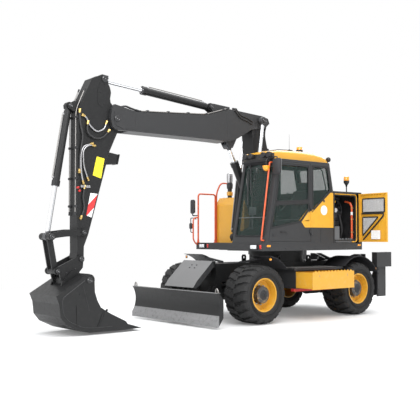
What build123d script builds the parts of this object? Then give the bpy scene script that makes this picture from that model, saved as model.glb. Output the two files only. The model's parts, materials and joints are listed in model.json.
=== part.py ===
"""Wheeled excavator with a two-piece boom, a front blade and rear outriggers.

All sizes are in millimetres. X points forward, Y to the left and Z up, with the ground at Z = 0.
The pieces are drawn about the slewing axis. Each is written with the middle of the parked
machine's ground outline at the origin.
"""

import os
from math import cos, radians, sin, sqrt

from build123d import *

os.makedirs("parts", exist_ok=True)

# Wheels and axles
TYRE_R = 525
TYRE_WIDTH = 590
RIM_R = 300
WHEEL_Y = 957
FRONT_AXLE_X = 1500
REAR_AXLE_X = -1100
HUB_R = 150
HUB_SEAT = 60
KINGPIN_Y = 690
SIDES = {"left": 1, "right": -1}

# Undercarriage
CHASSIS_HALF = 330
CHASSIS_TOP = 1060
CHASSIS_BOTTOM = 640
CHASSIS_WALL = 30
CHASSIS_FRONT = 1880
CHASSIS_REAR = -1640
RING_R = 560
RING_TOP = 1290
SLEW_GAP = 5
AXLE_SEAT_Z = 700
FENDER_R = 640
FRONT_FENDER_R = 690
FENDER_WALL = 8

# Toolbox and step between the axles, with its drawer pulled out
BOX_FRONT = 620
BOX_REAR = -550
BOX_BOTTOM = 590
BOX_TOP = 930
BOX_OUTER = 1130
BOX_INNER = 640
BOX_WALL = 8
DRAWER_OUT = 404
DRAWER_GAP = 6
DRAWER_PANEL = 14

# Blade and its linkage
BLADE_FRONT_X = 2650
BLADE_HALF = 1250
BLADE_BOTTOM = 40
BLADE_TOP = 610
LINK_UPPER = (1945, 1050)
LINK_LOWER = (1945, 590)
LINK_REACH = (480, -450)
LINK_Y = 255
BLADE_CYL_Y = 130
BLADE_CYL_BASE = (1965, 900)
BLADE_CYL_EYE = (2420, 330)

# Outriggers
LEG_X = -1900
LEG_PIVOT_Y = 800
LEG_PIVOT_Z = 390
LEG_CYL_TOP = (610, 1130)
LEG_CYL_EYE = (930, 600)
PAD_HALF_X = 240
PAD_LOW = 940
PAD_HIGH = 1240

# Lashing eyes, each a bored plate: middle of the bore, and the hole for a shackle
EYE_BORE_R = 26
EYE_OUTER_R = 52
EYE_HALF = 15
SEAT_GAP = 0.3

# Upper structure
PLATFORM_BOTTOM = 1300
PLATFORM_TOP = 1435
PLATFORM_FRONT = 1566
PLATFORM_REAR = -1190
PLATFORM_HALF = 1240
TAIL_R = 1720
HOOD_TOP = 2440
GAP_LEFT = 330
GAP_RIGHT = -340
ENGINE_DOOR_HINGE = (-1085, 1266)
ENGINE_DOOR_WIDTH = 730
ENGINE_DOOR_WALL = 35
ENGINE_HINGE_R = 14
ENGINE_DOOR_OPEN = 84
MIRROR_OUT = 1330

# Cab
CAB_INNER_Y = 345
CAB_OUTER_Y = 1235
CAB_WALL = 45
CAB_FLOOR = 40
CAB_FRONT_LOW = (1500, PLATFORM_TOP + SEAT_GAP)
CAB_FRONT_HIGH = (1200, 2960)
CAB_REAR_X = -330
ROOF_LOW = 2960
ROOF_TOP = 3190
DOOR_FRONT_X = 1395
DOOR_REAR_X = 310
DOOR_BOTTOM = 1470
DOOR_TOP = 2930
DOOR_WALL = 40
DOOR_HINGE = (306, 1251)
DOOR_HINGE_Z = (1580, 2040)
DOOR_HINGE_R = 9
DOOR_BARREL_R = 14
DOOR_LEAF = 44
GLASS = 6

# Two-piece boom, arm and bucket, as (x, z) in the middle plane
BOOM_FOOT = (300, 1750)
BOOM_MID = (610, 3830)
BOOM_TIP = (3944, 3535)
LOWER_BOOM_HALF = 150
UPPER_BOOM_HALF = 190
BOOM_PLATE = 30
LIFT_BASE = (920, 1550)
LIFT_Y = 255
ADJUST_BASE = (650, 2060)
ADJUST_EYE = (1300, 3310)
ARM_CYL_BASE = (1776, 3997)
ARM_CYL_EYE = (4136, 4189)
ARM_HALF = 120
BUCKET_CYL_BASE = (4755, 3680)
ROCKER_PIVOT = (4542, 1626)
ROCKER_PIN = (5119, 1558)
LINK_PIN = (5013, 1012)
BUCKET_PIN = (4593, 1198)
BUCKET_FRONT_X = 5191
BUCKET_TOP_REAR = (4620, 972)
BUCKET_TOP_FRONT = (BUCKET_FRONT_X, 643)
BUCKET_TUBE = (4607, 870)
BUCKET_HALF = 450
PIN_GAP = 0.5

# Middle of the parked machine's ground outline, seen from the slewing axis
GROUND_MID_X = (BUCKET_FRONT_X + LEG_X - PAD_HALF_X) / 2
GROUND_MID_Y = (ENGINE_DOOR_HINGE[1] + ENGINE_DOOR_WIDTH - MIRROR_OUT) / 2


def keep(piece, name):
    """Move a finished piece to the ground outline's middle, label it and write it."""
    finished = piece.part.moved(Location((-GROUND_MID_X, -GROUND_MID_Y, 0)))
    finished.label = name
    export_step(finished, f"parts/{name}.step")


def slab(outline, low_y, high_y, mode=Mode.ADD):
    """Add a slab whose outline lies in X and Z, from low_y to high_y."""
    with BuildSketch(Plane.XZ.offset(-low_y)) as profile:
        with BuildLine():
            Polyline(*outline, close=True)
        make_face()
    extrude(profile.sketch, amount=low_y - high_y, mode=mode)


def cross_slab(outline, low_x, high_x, mode=Mode.ADD):
    """Add a slab whose outline lies in Y and Z, from low_x to high_x."""
    with BuildSketch(Plane.YZ.offset(low_x)) as profile:
        with BuildLine():
            Polyline(*outline, close=True)
        make_face()
    extrude(profile.sketch, amount=high_x - low_x, mode=mode)


def deck(outline, low_z, high_z, mode=Mode.ADD):
    """Add a slab whose outline lies in X and Y, from low_z to high_z."""
    with BuildSketch(Plane.XY.offset(low_z)) as profile:
        with BuildLine():
            Polyline(*outline, close=True)
        make_face()
    extrude(profile.sketch, amount=high_z - low_z, mode=mode)


def block(low, high, mode=Mode.ADD):
    """Add a box between two corners."""
    with BuildSketch(Plane.XY.offset(low[2])) as profile:
        with Locations(((low[0] + high[0]) / 2, (low[1] + high[1]) / 2)):
            Rectangle(high[0] - low[0], high[1] - low[1])
    extrude(profile.sketch, amount=high[2] - low[2], mode=mode)


def bar(start, end, radius, mode=Mode.ADD):
    """Add a round bar between two points."""
    run = Vector(*end) - Vector(*start)
    with BuildSketch(Plane(origin=start, z_dir=run)) as section:
        Circle(radius)
    extrude(section.sketch, amount=run.length, mode=mode)


def pin(at, radius, low_y, high_y, mode=Mode.ADD):
    """Add a round bar along Y at the point (x, z)."""
    bar((at[0], low_y, at[1]), (at[0], high_y, at[1]), radius, mode)


def pin_both(at, radius, inner_y, outer_y, mode=Mode.ADD):
    """Add a round bar along Y on each side of the middle plane."""
    pin(at, radius, inner_y, outer_y, mode)
    pin(at, radius, -outer_y, -inner_y, mode)


def slab_both(outline, inner_y, outer_y, mode=Mode.ADD):
    """Add a slab on each side of the middle plane."""
    slab(outline, inner_y, outer_y, mode)
    slab(outline, -outer_y, -inner_y, mode)


def along(start, end, distance, side=0):
    """Give the point that lies a distance from start towards end, and side to its left."""
    run = Vector(end[0] - start[0], end[1] - start[1]).normalized()
    return (start[0] + run.X * distance - run.Y * side, start[1] + run.Y * distance + run.X * side)


def plane_point(at, y):
    """Give the point of space at (x, z) and y."""
    return (at[0], y, at[1])


def strut(start, end, start_half, end_half):
    """Give the outline of a strut between two (x, z) points, with its half depth at each end."""
    return [
        along(start, end, 0, start_half),
        along(start, end, 0, -start_half),
        along(end, start, 0, end_half),
        along(end, start, 0, -end_half),
    ]


# Tyres and wheels. Each wheel turns by itself.
for axle, axle_x in (("front", FRONT_AXLE_X), ("rear", REAR_AXLE_X)):
    for side, sign in SIDES.items():
        middle = (axle_x, sign * WHEEL_Y, TYRE_R)
        wheel_section = Plane(origin=middle, x_dir=(0, sign, 0), z_dir=(1, 0, 0))
        with BuildPart() as tyre:
            with BuildSketch(wheel_section) as section:
                half = TYRE_WIDTH / 2
                with BuildLine():
                    Polyline(
                        (-half + 40, RIM_R),
                        (-half, RIM_R + 60),
                        (-half, TYRE_R - 90),
                        (-half + 30, TYRE_R - 25),
                        (-half + 75, TYRE_R),
                        (half - 75, TYRE_R),
                        (half - 30, TYRE_R - 25),
                        (half, TYRE_R - 90),
                        (half, RIM_R + 60),
                        (half - 40, RIM_R),
                        close=True,
                    )
                make_face()
            revolve(section.sketch, axis=Axis(middle, (0, 1, 0)))
        keep(tyre, f"tyre_{axle}_{side}")

        with BuildPart() as wheel:
            with BuildSketch(wheel_section) as section:
                half = TYRE_WIDTH / 2 - 40
                with BuildLine():
                    Polyline(
                        (-half, RIM_R),
                        (-half, RIM_R - 18),
                        (80, RIM_R - 30),
                        (100, 190),
                        (HUB_SEAT, HUB_R + 10),
                        (HUB_SEAT, 0),
                        (215, 0),
                        (230, HUB_R - 40),
                        (215, HUB_R),
                        (110, HUB_R),
                        (125, 190),
                        (120, RIM_R - 40),
                        (half, RIM_R - 22),
                        (half, RIM_R),
                        close=True,
                    )
                make_face()
            revolve(section.sketch, axis=Axis(middle, (0, 1, 0)))
        keep(wheel, f"wheel_{axle}_{side}")

# Axles, with the gearcase in the middle. The rear axle carries its wheels directly.
with BuildPart() as axles:
    bar((FRONT_AXLE_X, -KINGPIN_Y + 110, TYRE_R), (FRONT_AXLE_X, KINGPIN_Y - 110, TYRE_R), 85)
    bar((FRONT_AXLE_X - 200, 0, TYRE_R), (FRONT_AXLE_X + 130, 0, TYRE_R), 165)
    for sign in SIDES.values():
        block((FRONT_AXLE_X - 60, min(sign * 560, sign * 625), TYRE_R - 175),
              (FRONT_AXLE_X + 60, max(sign * 560, sign * 625), TYRE_R + 175))
        for low, high in ((TYRE_R - 175, TYRE_R - 125), (TYRE_R + 125, TYRE_R + 175)):
            block((FRONT_AXLE_X - 60, min(sign * 600, sign * 740), low),
                  (FRONT_AXLE_X + 60, max(sign * 600, sign * 740), high))
    block((FRONT_AXLE_X - 150, -150, TYRE_R + 100), (FRONT_AXLE_X + 150, 150, AXLE_SEAT_Z))
    reach = WHEEL_Y + HUB_SEAT - SEAT_GAP
    bar((REAR_AXLE_X, -reach, TYRE_R), (REAR_AXLE_X, reach, TYRE_R), 85)
    bar((REAR_AXLE_X - 130, 0, TYRE_R), (REAR_AXLE_X + 220, 0, TYRE_R), 165)
    block((REAR_AXLE_X - 150, -CHASSIS_HALF, TYRE_R + 60), (REAR_AXLE_X + 150, CHASSIS_HALF, CHASSIS_BOTTOM))
keep(axles, "axles")

# Steering knuckles between the axle's forks
for side, sign in SIDES.items():
    with BuildPart() as knuckle:
        bar((FRONT_AXLE_X, sign * KINGPIN_Y, TYRE_R - 125 + PIN_GAP),
            (FRONT_AXLE_X, sign * KINGPIN_Y, TYRE_R + 125 - PIN_GAP), 55)
        bar((FRONT_AXLE_X, sign * KINGPIN_Y, TYRE_R), (FRONT_AXLE_X, sign * reach, TYRE_R), 80)
    keep(knuckle, f"knuckle_{side}")

# Chassis frame: a box of plates with the slewing ring's seat and four lashing eyes
with BuildPart() as chassis:
    deck(
        [
            (CHASSIS_FRONT, -CHASSIS_HALF),
            (CHASSIS_FRONT, CHASSIS_HALF),
            (CHASSIS_REAR, CHASSIS_HALF),
            (CHASSIS_REAR, -CHASSIS_HALF),
        ],
        CHASSIS_TOP - CHASSIS_WALL,
        CHASSIS_TOP,
    )
    for sign in SIDES.values():
        inner, outer = sign * (CHASSIS_HALF - CHASSIS_WALL), sign * CHASSIS_HALF
        slab(
            [
                (CHASSIS_FRONT, 480),
                (CHASSIS_FRONT, CHASSIS_TOP),
                (CHASSIS_REAR, CHASSIS_TOP),
                (CHASSIS_REAR, CHASSIS_BOTTOM),
                (1000, CHASSIS_BOTTOM),
                (1100, TYRE_R + 200),
                (1730, TYRE_R + 200),
                (1780, 480),
            ],
            min(inner, outer),
            max(inner, outer),
        )
    block((CHASSIS_FRONT - 30, -CHASSIS_HALF, 480), (CHASSIS_FRONT, CHASSIS_HALF, CHASSIS_TOP))
    block((CHASSIS_REAR, -CHASSIS_HALF, CHASSIS_BOTTOM), (CHASSIS_REAR + 30, CHASSIS_HALF, CHASSIS_TOP))
    block((FRONT_AXLE_X - 150, -CHASSIS_HALF + 10, AXLE_SEAT_Z + SEAT_GAP),
          (FRONT_AXLE_X + 150, CHASSIS_HALF - 10, AXLE_SEAT_Z + 80))
    bar((0, 0, CHASSIS_TOP - 10), (0, 0, RING_TOP - 90), RING_R - 20)
    bar((0, 0, CHASSIS_TOP - 200), (0, 0, RING_TOP - 90), RING_R - 120, Mode.SUBTRACT)
    block((-480, -560, BOX_TOP + 40), (480, 560, CHASSIS_TOP))
    for at in (LINK_UPPER, LINK_LOWER):
        slab_both([(CHASSIS_FRONT, at[1] - 60), (CHASSIS_FRONT, at[1] + 60), (at[0] + 20, at[1] + 50),
                   (at[0] + 45, at[1]), (at[0] + 20, at[1] - 50)], LINK_Y + 33, LINK_Y + 63)
        pin_both(at, 28, LINK_Y - 50, LINK_Y + 70)
    at = BLADE_CYL_BASE
    for low in (BLADE_CYL_Y - 65, BLADE_CYL_Y + 40):
        slab_both([(CHASSIS_FRONT, at[1] - 70), (CHASSIS_FRONT, at[1] + 70), (at[0], at[1] + 45),
                   (at[0] + 45, at[1]), (at[0], at[1] - 45)], low, low + 25)
    pin_both(at, 25, BLADE_CYL_Y - 70, BLADE_CYL_Y + 70)
    bar((0, 0, RING_TOP - 90), (0, 0, RING_TOP - SLEW_GAP), RING_R)
    bar((0, 0, RING_TOP - 90), (0, 0, RING_TOP - SLEW_GAP), RING_R - 120, Mode.SUBTRACT)
    for sign in SIDES.values():
        for low_x in (LEG_X - 115, LEG_X + 85):
            cross_slab([(sign * 200, 320), (sign * 200, CHASSIS_TOP), (sign * 560, 1190), (sign * 680, 1190),
                        (sign * 690, 1080), (sign * 600, 620), (sign * 850, 430), (sign * 850, 350),
                        (sign * 800, 325)], low_x, low_x + 30)
        bar((LEG_X - 120, sign * LEG_PIVOT_Y, LEG_PIVOT_Z), (LEG_X + 120, sign * LEG_PIVOT_Y, LEG_PIVOT_Z), 30)
        bar((LEG_X - 120, sign * LEG_CYL_TOP[0], LEG_CYL_TOP[1]),
            (LEG_X + 120, sign * LEG_CYL_TOP[0], LEG_CYL_TOP[1]), 27)
    block((LEG_X - 115, -300, 330), (CHASSIS_REAR, 300, CHASSIS_TOP - 5))
keep(chassis, "chassis_frame")

# Lashing eyes on the chassis beside the ring, each standing on the deck
with BuildPart() as eyes:
    for eye_x in (-420, 420):
        for sign in SIDES.values():
            low_y = sign * 500 - EYE_HALF
            slab([(eye_x - EYE_OUTER_R, CHASSIS_TOP + SEAT_GAP), (eye_x - EYE_OUTER_R, CHASSIS_TOP + 100),
                  (eye_x - 30, CHASSIS_TOP + 135), (eye_x + 30, CHASSIS_TOP + 135),
                  (eye_x + EYE_OUTER_R, CHASSIS_TOP + 100), (eye_x + EYE_OUTER_R, CHASSIS_TOP + SEAT_GAP)],
                 low_y, low_y + 2 * EYE_HALF)
            pin((eye_x, CHASSIS_TOP + 80), EYE_BORE_R, low_y - 1, low_y + 2 * EYE_HALF + 1, Mode.SUBTRACT)
keep(eyes, "lashing_eyes")


# Arched fenders on brackets that stand on the chassis. Columns: axle, inner radius, start of the
# arc, arc, and the bracket's angle round the wheel.
FENDERS = [(FRONT_AXLE_X, FRONT_FENDER_R, 100, 40, 113.5), (REAR_AXLE_X, FENDER_R, 45, 105, 80)]
with BuildPart() as fenders:
    for axle_x, inner_r, start, arc, hold_angle in FENDERS:
        hold_x = axle_x + inner_r * cos(radians(hold_angle))
        hold_z = TYRE_R + inner_r * sin(radians(hold_angle))
        for sign in SIDES.values():
            with BuildSketch(Plane.XZ.offset(-sign * (WHEEL_Y + 293))) as section:
                with BuildLine():
                    rim = CenterArc((axle_x, TYRE_R), inner_r + FENDER_WALL, start, arc)
                    lip = CenterArc((axle_x, TYRE_R), inner_r, start, arc)
                    Line(rim @ 0, lip @ 0)
                    Line(rim @ 1, lip @ 1)
                make_face()
            extrude(section.sketch, amount=sign * 560)
            foot_z = CHASSIS_TOP + SEAT_GAP
            cross_slab([(sign * 240, foot_z), (sign * CHASSIS_HALF, foot_z), (sign * 760, hold_z - 24),
                        (sign * 760, hold_z + 3), (sign * 240, CHASSIS_TOP + 25)], hold_x - 25, hold_x + 25)
keep(fenders, "fenders")

# Toolbox housing on the left, open to the side, with the step above and the red bar below
with BuildPart() as toolbox:
    block((BOX_REAR, BOX_INNER, BOX_BOTTOM), (BOX_FRONT, BOX_OUTER, BOX_TOP))
    block((BOX_REAR + BOX_WALL, BOX_INNER + BOX_WALL, BOX_BOTTOM + BOX_WALL),
          (BOX_FRONT - BOX_WALL, BOX_OUTER, BOX_TOP - BOX_WALL), Mode.SUBTRACT)
    block((BOX_REAR - 190, BOX_INNER - 80, BOX_TOP), (BOX_FRONT + 30, BOX_OUTER, BOX_TOP + 40))
    block((BOX_REAR, BOX_OUTER - 120, BOX_BOTTOM - 55), (BOX_FRONT, BOX_OUTER - 40, BOX_BOTTOM))
keep(toolbox, "toolbox_housing")

with BuildPart() as drawer:
    low_x, high_x = BOX_REAR + BOX_WALL + DRAWER_GAP, BOX_FRONT - BOX_WALL - DRAWER_GAP
    low_z, high_z = BOX_BOTTOM + BOX_WALL + DRAWER_GAP, BOX_TOP - BOX_WALL - 3 * DRAWER_GAP
    panel_y = BOX_OUTER + DRAWER_GAP + DRAWER_OUT
    inner_y = BOX_INNER + BOX_WALL + DRAWER_GAP + DRAWER_OUT
    block((low_x, inner_y, low_z), (high_x, panel_y, high_z))
    block((low_x + 4, inner_y + 4, low_z + 4), (high_x - 4, panel_y - 4, high_z), Mode.SUBTRACT)
    block((BOX_REAR, panel_y, BOX_BOTTOM), (BOX_FRONT, panel_y + DRAWER_PANEL, BOX_TOP - 20))
    for slide_x, way in ((low_x, -1), (high_x, 1)):
        block((min(slide_x, slide_x + way * (DRAWER_GAP - PIN_GAP)), inner_y, low_z + 20),
              (max(slide_x, slide_x + way * (DRAWER_GAP - PIN_GAP)), panel_y, low_z + 40))
    with BuildSketch(Plane.XZ.offset(-panel_y)) as teeth:
        with Locations(((BOX_FRONT + BOX_REAR) / 2, BOX_TOP - 20)):
            with GridLocations(90, 1, 12, 1):
                Polygon((-40, -6), (40, -6), (0, 26), align=None)
    extrude(teeth.sketch, amount=-DRAWER_PANEL)
keep(drawer, "tool_drawer")

# Fuel step on the right between the axles
with BuildPart() as right_step:
    block((BOX_REAR, -BOX_OUTER, BOX_BOTTOM), (BOX_FRONT, -BOX_INNER, BOX_TOP))
    block((BOX_REAR + BOX_WALL, -BOX_OUTER, BOX_BOTTOM + 180),
          (BOX_FRONT - BOX_WALL, -BOX_INNER - 180, BOX_TOP - 40), Mode.SUBTRACT)
    block((BOX_REAR - 190, -BOX_OUTER, BOX_TOP), (BOX_FRONT + 30, -BOX_INNER + 80, BOX_TOP + 40))
keep(right_step, "right_step")

# Blade, its parallel links and their two cylinders
def link_end(start):
    """Give the blade's end of a link that starts at a chassis pin."""
    return (start[0] + LINK_REACH[0], start[1] + LINK_REACH[1])



with BuildPart() as upper_links:
    slab_both(strut(LINK_UPPER, link_end(LINK_UPPER), 45, 40), LINK_Y - 30, LINK_Y + 30)
    pin_both(LINK_UPPER, 55, LINK_Y - 30, LINK_Y + 30)
    pin_both(link_end(LINK_UPPER), 50, LINK_Y - 30, LINK_Y + 30)
    pin_both(LINK_UPPER, 28 + PIN_GAP, LINK_Y - 30, LINK_Y + 30, Mode.SUBTRACT)
    pin_both(link_end(LINK_UPPER), 28 + PIN_GAP, LINK_Y - 30, LINK_Y + 30, Mode.SUBTRACT)
    slab_both([along(LINK_UPPER, link_end(LINK_UPPER), 110, 30), along(LINK_UPPER, link_end(LINK_UPPER), 110, 100),
               along(LINK_UPPER, link_end(LINK_UPPER), 430, 100), along(LINK_UPPER, link_end(LINK_UPPER), 430, 30)],
              LINK_Y - 30, LINK_Y - 10)
    slab([along(LINK_UPPER, link_end(LINK_UPPER), 20, 99), along(LINK_UPPER, link_end(LINK_UPPER), 20, 108),
          along(LINK_UPPER, link_end(LINK_UPPER), 520, 108), (2490, 655), (2482, 655),
          along(LINK_UPPER, link_end(LINK_UPPER), 520, 99)], -420, 420)
keep(upper_links, "blade_upper_links")

with BuildPart() as lower_links:
    slab_both(strut(LINK_LOWER, link_end(LINK_LOWER), 45, 40), LINK_Y - 30, LINK_Y + 30)
    pin_both(LINK_LOWER, 55, LINK_Y - 30, LINK_Y + 30)
    pin_both(link_end(LINK_LOWER), 50, LINK_Y - 30, LINK_Y + 30)
    pin_both(LINK_LOWER, 28 + PIN_GAP, LINK_Y - 30, LINK_Y + 30, Mode.SUBTRACT)
    pin_both(link_end(LINK_LOWER), 28 + PIN_GAP, LINK_Y - 30, LINK_Y + 30, Mode.SUBTRACT)
keep(lower_links, "blade_lower_links")

with BuildPart() as blade:
    with BuildSketch(Plane.XZ.offset(BLADE_HALF)) as section:
        with BuildLine():
            face = RadiusArc((BLADE_FRONT_X, BLADE_BOTTOM + 90), (BLADE_FRONT_X - 10, BLADE_TOP), 420)
            Polyline(face @ 1, (BLADE_FRONT_X - 60, BLADE_TOP), (BLADE_FRONT_X - 150, BLADE_TOP - 120),
                     (BLADE_FRONT_X - 150, BLADE_BOTTOM + 150), (BLADE_FRONT_X - 40, BLADE_BOTTOM),
                     (BLADE_FRONT_X, BLADE_BOTTOM), face @ 0)
        make_face()
    extrude(section.sketch, amount=-2 * BLADE_HALF)
    for at in (link_end(LINK_UPPER), link_end(LINK_LOWER)):
        if at[1] > BLADE_TOP - 120:
            root = [(BLADE_FRONT_X - 130, 470), (BLADE_FRONT_X - 90, BLADE_TOP - 50), (BLADE_FRONT_X - 105, BLADE_TOP)]
        else:
            root = [(BLADE_FRONT_X - 75, 115), (BLADE_FRONT_X - 145, 230)]
        slab_both(root + [(at[0], at[1] + 36), (at[0] - 45, at[1]), (at[0], at[1] - 48)] if at[1] > BLADE_TOP - 120
                  else root + [(at[0], at[1] + 36), (at[0] - 45, at[1]), (at[0], at[1] - 45)],
                  LINK_Y + 33, LINK_Y + 58)
        pin_both(at, 28, LINK_Y - 45, LINK_Y + 62)
    at = BLADE_CYL_EYE
    for low in (BLADE_CYL_Y - 62, BLADE_CYL_Y + 37):
        slab_both([(BLADE_FRONT_X - 150, at[1] - 60), (BLADE_FRONT_X - 150, at[1] + 60), (at[0], at[1] + 42),
                   (at[0] - 42, at[1]), (at[0], at[1] - 42)], low, low + 25)
keep(blade, "dozer_blade")


def rams(name, base, eye, centres, half, case_r, rod_r, case_length, inside, eye_r, pin_r, stub=0):
    """Write a cylinder's cases and rods, side by side at the given Y centres.

    The case is bored for the rod from a base length beyond its eye. The rod's inner end
    lies at the distance inside from the base pin, and its eye has its own stub of pin.
    """
    whole = sqrt((eye[0] - base[0]) ** 2 + (eye[1] - base[1]) ** 2)
    with BuildPart() as case:
        for y in centres:
            pin(base, eye_r, y - half, y + half)
            bar(plane_point(along(base, eye, eye_r * 0.6), y), plane_point(along(base, eye, eye_r + 40), y),
                min(half, case_r) - 2)
            bar(plane_point(along(base, eye, eye_r + 25), y), plane_point(along(base, eye, case_length), y), case_r)
            bar(plane_point(along(base, eye, case_length - 90), y),
                plane_point(along(base, eye, case_length), y), case_r + 9)
        for y in centres:
            pin(base, pin_r + PIN_GAP, y - half, y + half, Mode.SUBTRACT)
            bar(plane_point(along(base, eye, eye_r + 45), y), plane_point(along(base, eye, case_length + 5), y),
                rod_r + PIN_GAP, Mode.SUBTRACT)
    keep(case, f"{name}_case")
    with BuildPart() as rod:
        for y in centres:
            bar(plane_point(along(base, eye, inside), y), plane_point(along(base, eye, whole - eye_r * 0.6), y), rod_r)
            pin(eye, eye_r, y - half, y + half)
            pin(eye, pin_r, y - half - stub, y + half + stub)
    keep(rod, f"{name}_rod")


rams("blade_cylinder", BLADE_CYL_BASE, BLADE_CYL_EYE, (-BLADE_CYL_Y, BLADE_CYL_Y), 34, 45, 24, 490, 300, 42, 25, 2.7)


# Rear outriggers: a tower on the chassis carries each leg and its cylinder
def outrigger_point(at, sign, x=LEG_X):
    """Give the point of space at (y, z) on one side."""
    return (x, sign * at[0], at[1])


for side, sign in SIDES.items():
    pivot = outrigger_point((LEG_PIVOT_Y, LEG_PIVOT_Z), sign)
    with BuildPart() as leg:
        for low_x in (LEG_X - 82, LEG_X + 57):
            cross_slab([(sign * 745, 360), (sign * 745, 440), (sign * 870, 600), (sign * 900, 650),
                        (sign * 960, 680), (sign * 1060, PAD_LOW), (sign * 1150, PAD_LOW), (sign * 1150, 430), (sign * 1080, 345),
                        (sign * 790, 335)], low_x, low_x + 25)
        bar((LEG_X - 82, pivot[1], pivot[2]), (LEG_X + 82, pivot[1], pivot[2]), 55)
        block((LEG_X - 135, min(sign * 1150, sign * 1180), 330), (LEG_X + 135, max(sign * 1150, sign * 1180), PAD_LOW + 5))
        block((LEG_X - 82, min(sign * 1060, sign * 1150), PAD_LOW - 30),
              (LEG_X + 82, max(sign * 1060, sign * 1150), PAD_LOW + 60))
        block((LEG_X - PAD_HALF_X, min(sign * 1120, sign * 1250), PAD_LOW),
              (LEG_X + PAD_HALF_X, max(sign * 1120, sign * 1250), PAD_HIGH))
        bar((LEG_X - 90, pivot[1], pivot[2]), (LEG_X + 90, pivot[1], pivot[2]), 30 + PIN_GAP, Mode.SUBTRACT)
    keep(leg, f"outrigger_leg_{side}")

    base = LEG_CYL_TOP
    eye = LEG_CYL_EYE
    whole = sqrt((eye[0] - base[0]) ** 2 + (eye[1] - base[1]) ** 2)
    with BuildPart() as case:
        bar(outrigger_point(base, sign, LEG_X - 36), outrigger_point(base, sign, LEG_X + 36), 48)
        bar(outrigger_point(along(base, eye, 30), sign), outrigger_point(along(base, eye, 110), sign), 34)
        bar(outrigger_point(along(base, eye, 95), sign), outrigger_point(along(base, eye, 530), sign), 52)
        bar(outrigger_point(base, sign, LEG_X - 40), outrigger_point(base, sign, LEG_X + 40), 27 + PIN_GAP,
            Mode.SUBTRACT)
        bar(outrigger_point(along(base, eye, 115), sign), outrigger_point(along(base, eye, 535), sign),
            30 + PIN_GAP, Mode.SUBTRACT)
    keep(case, f"outrigger_{side}_case")
    with BuildPart() as rod:
        bar(outrigger_point(along(base, eye, 125), sign), outrigger_point(along(base, eye, whole - 30), sign), 30)
        bar(outrigger_point(eye, sign, LEG_X - 36), outrigger_point(eye, sign, LEG_X + 36), 44)
        bar(outrigger_point(eye, sign, LEG_X - 56.7), outrigger_point(eye, sign, LEG_X + 56.7), 27)
    keep(rod, f"outrigger_{side}_rod")

# Slewing platform with the boom's cheeks
with BuildPart() as platform:
    deck(
        [
            (PLATFORM_FRONT, GAP_LEFT - 40),
            (PLATFORM_FRONT, PLATFORM_HALF),
            (PLATFORM_REAR, PLATFORM_HALF),
            (PLATFORM_REAR, -PLATFORM_HALF),
            (1070, -PLATFORM_HALF),
            (1070, GAP_RIGHT + 20),
            (1250, GAP_RIGHT + 20),
            (1250, GAP_LEFT - 40),
        ],
        PLATFORM_BOTTOM,
        PLATFORM_TOP,
    )
    bar((0, 0, RING_TOP), (0, 0, PLATFORM_BOTTOM), RING_R - 60)
    slab_both([(PLATFORM_FRONT - 600, PLATFORM_TOP), (LIFT_BASE[0] + 90, LIFT_BASE[1] + 20),
               (LIFT_BASE[0] + 20, LIFT_BASE[1] + 90), (LIFT_BASE[0] - 60, LIFT_BASE[1] + 80),
               (BOOM_FOOT[0] + 60, BOOM_FOOT[1] + 100), (BOOM_FOOT[0] - 60, BOOM_FOOT[1] + 100),
               (BOOM_FOOT[0] - 500, PLATFORM_TOP)], 156, 186)
    pin(BOOM_FOOT, 50, -200, 200)
    pin_both(LIFT_BASE, 45, 180, 300)
    hinge_x, hinge_y = ENGINE_DOOR_HINGE
    block((hinge_x - 22, PLATFORM_HALF - 40, PLATFORM_TOP - 10), (hinge_x + 22, hinge_y + 22, PLATFORM_TOP + 14.7))
    bar((hinge_x, hinge_y, PLATFORM_TOP - 11), (hinge_x, hinge_y, PLATFORM_TOP + 20), ENGINE_HINGE_R + PIN_GAP,
        Mode.SUBTRACT)
keep(platform, "slewing_platform")

# Counterweight across the tail and the hood ahead of it
with BuildPart() as counterweight:
    with BuildSketch(Plane.XY.offset(PLATFORM_BOTTOM)) as outline:
        Circle(TAIL_R)
        with Locations((PLATFORM_REAR + TAIL_R, 0)):
            Rectangle(2 * TAIL_R, 2 * TAIL_R, mode=Mode.SUBTRACT)
        with Locations((0, PLATFORM_HALF + 300), (0, -PLATFORM_HALF - 300)):
            Rectangle(2 * TAIL_R + 10, 600, mode=Mode.SUBTRACT)
    extrude(outline.sketch, amount=HOOD_TOP - 40 - PLATFORM_BOTTOM)
keep(counterweight, "counterweight")

with BuildPart() as hood:
    block((PLATFORM_REAR, -PLATFORM_HALF + 5, HOOD_TOP - 40), (CAB_REAR_X - 12, PLATFORM_HALF - 5, HOOD_TOP))
    block((PLATFORM_REAR, -PLATFORM_HALF + 5, PLATFORM_TOP),
          (CAB_REAR_X - 12, -PLATFORM_HALF + 35, HOOD_TOP - 40))
    block((CAB_REAR_X - 42, GAP_RIGHT + 60, PLATFORM_TOP), (CAB_REAR_X - 12, PLATFORM_HALF - 5, HOOD_TOP - 40))
    block((hinge_x - 22, PLATFORM_HALF - 10, HOOD_TOP - 29.7), (hinge_x + 22, hinge_y + 22, HOOD_TOP - 10))
    bar((hinge_x, hinge_y, HOOD_TOP - 35), (hinge_x, hinge_y, HOOD_TOP), ENGINE_HINGE_R + PIN_GAP, Mode.SUBTRACT)
keep(hood, "engine_hood")

with BuildPart() as engine:
    block((-1020, -640, PLATFORM_TOP), (-480, 420, 2120))
keep(engine, "engine_block")

with BuildPart() as cooler:
    block((-1060, 560, PLATFORM_TOP), (-440, 760, 2330))
    bar((-750, 755, 2090), (-750, 800, 2090), 190)
keep(cooler, "cooler_pack")

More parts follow.
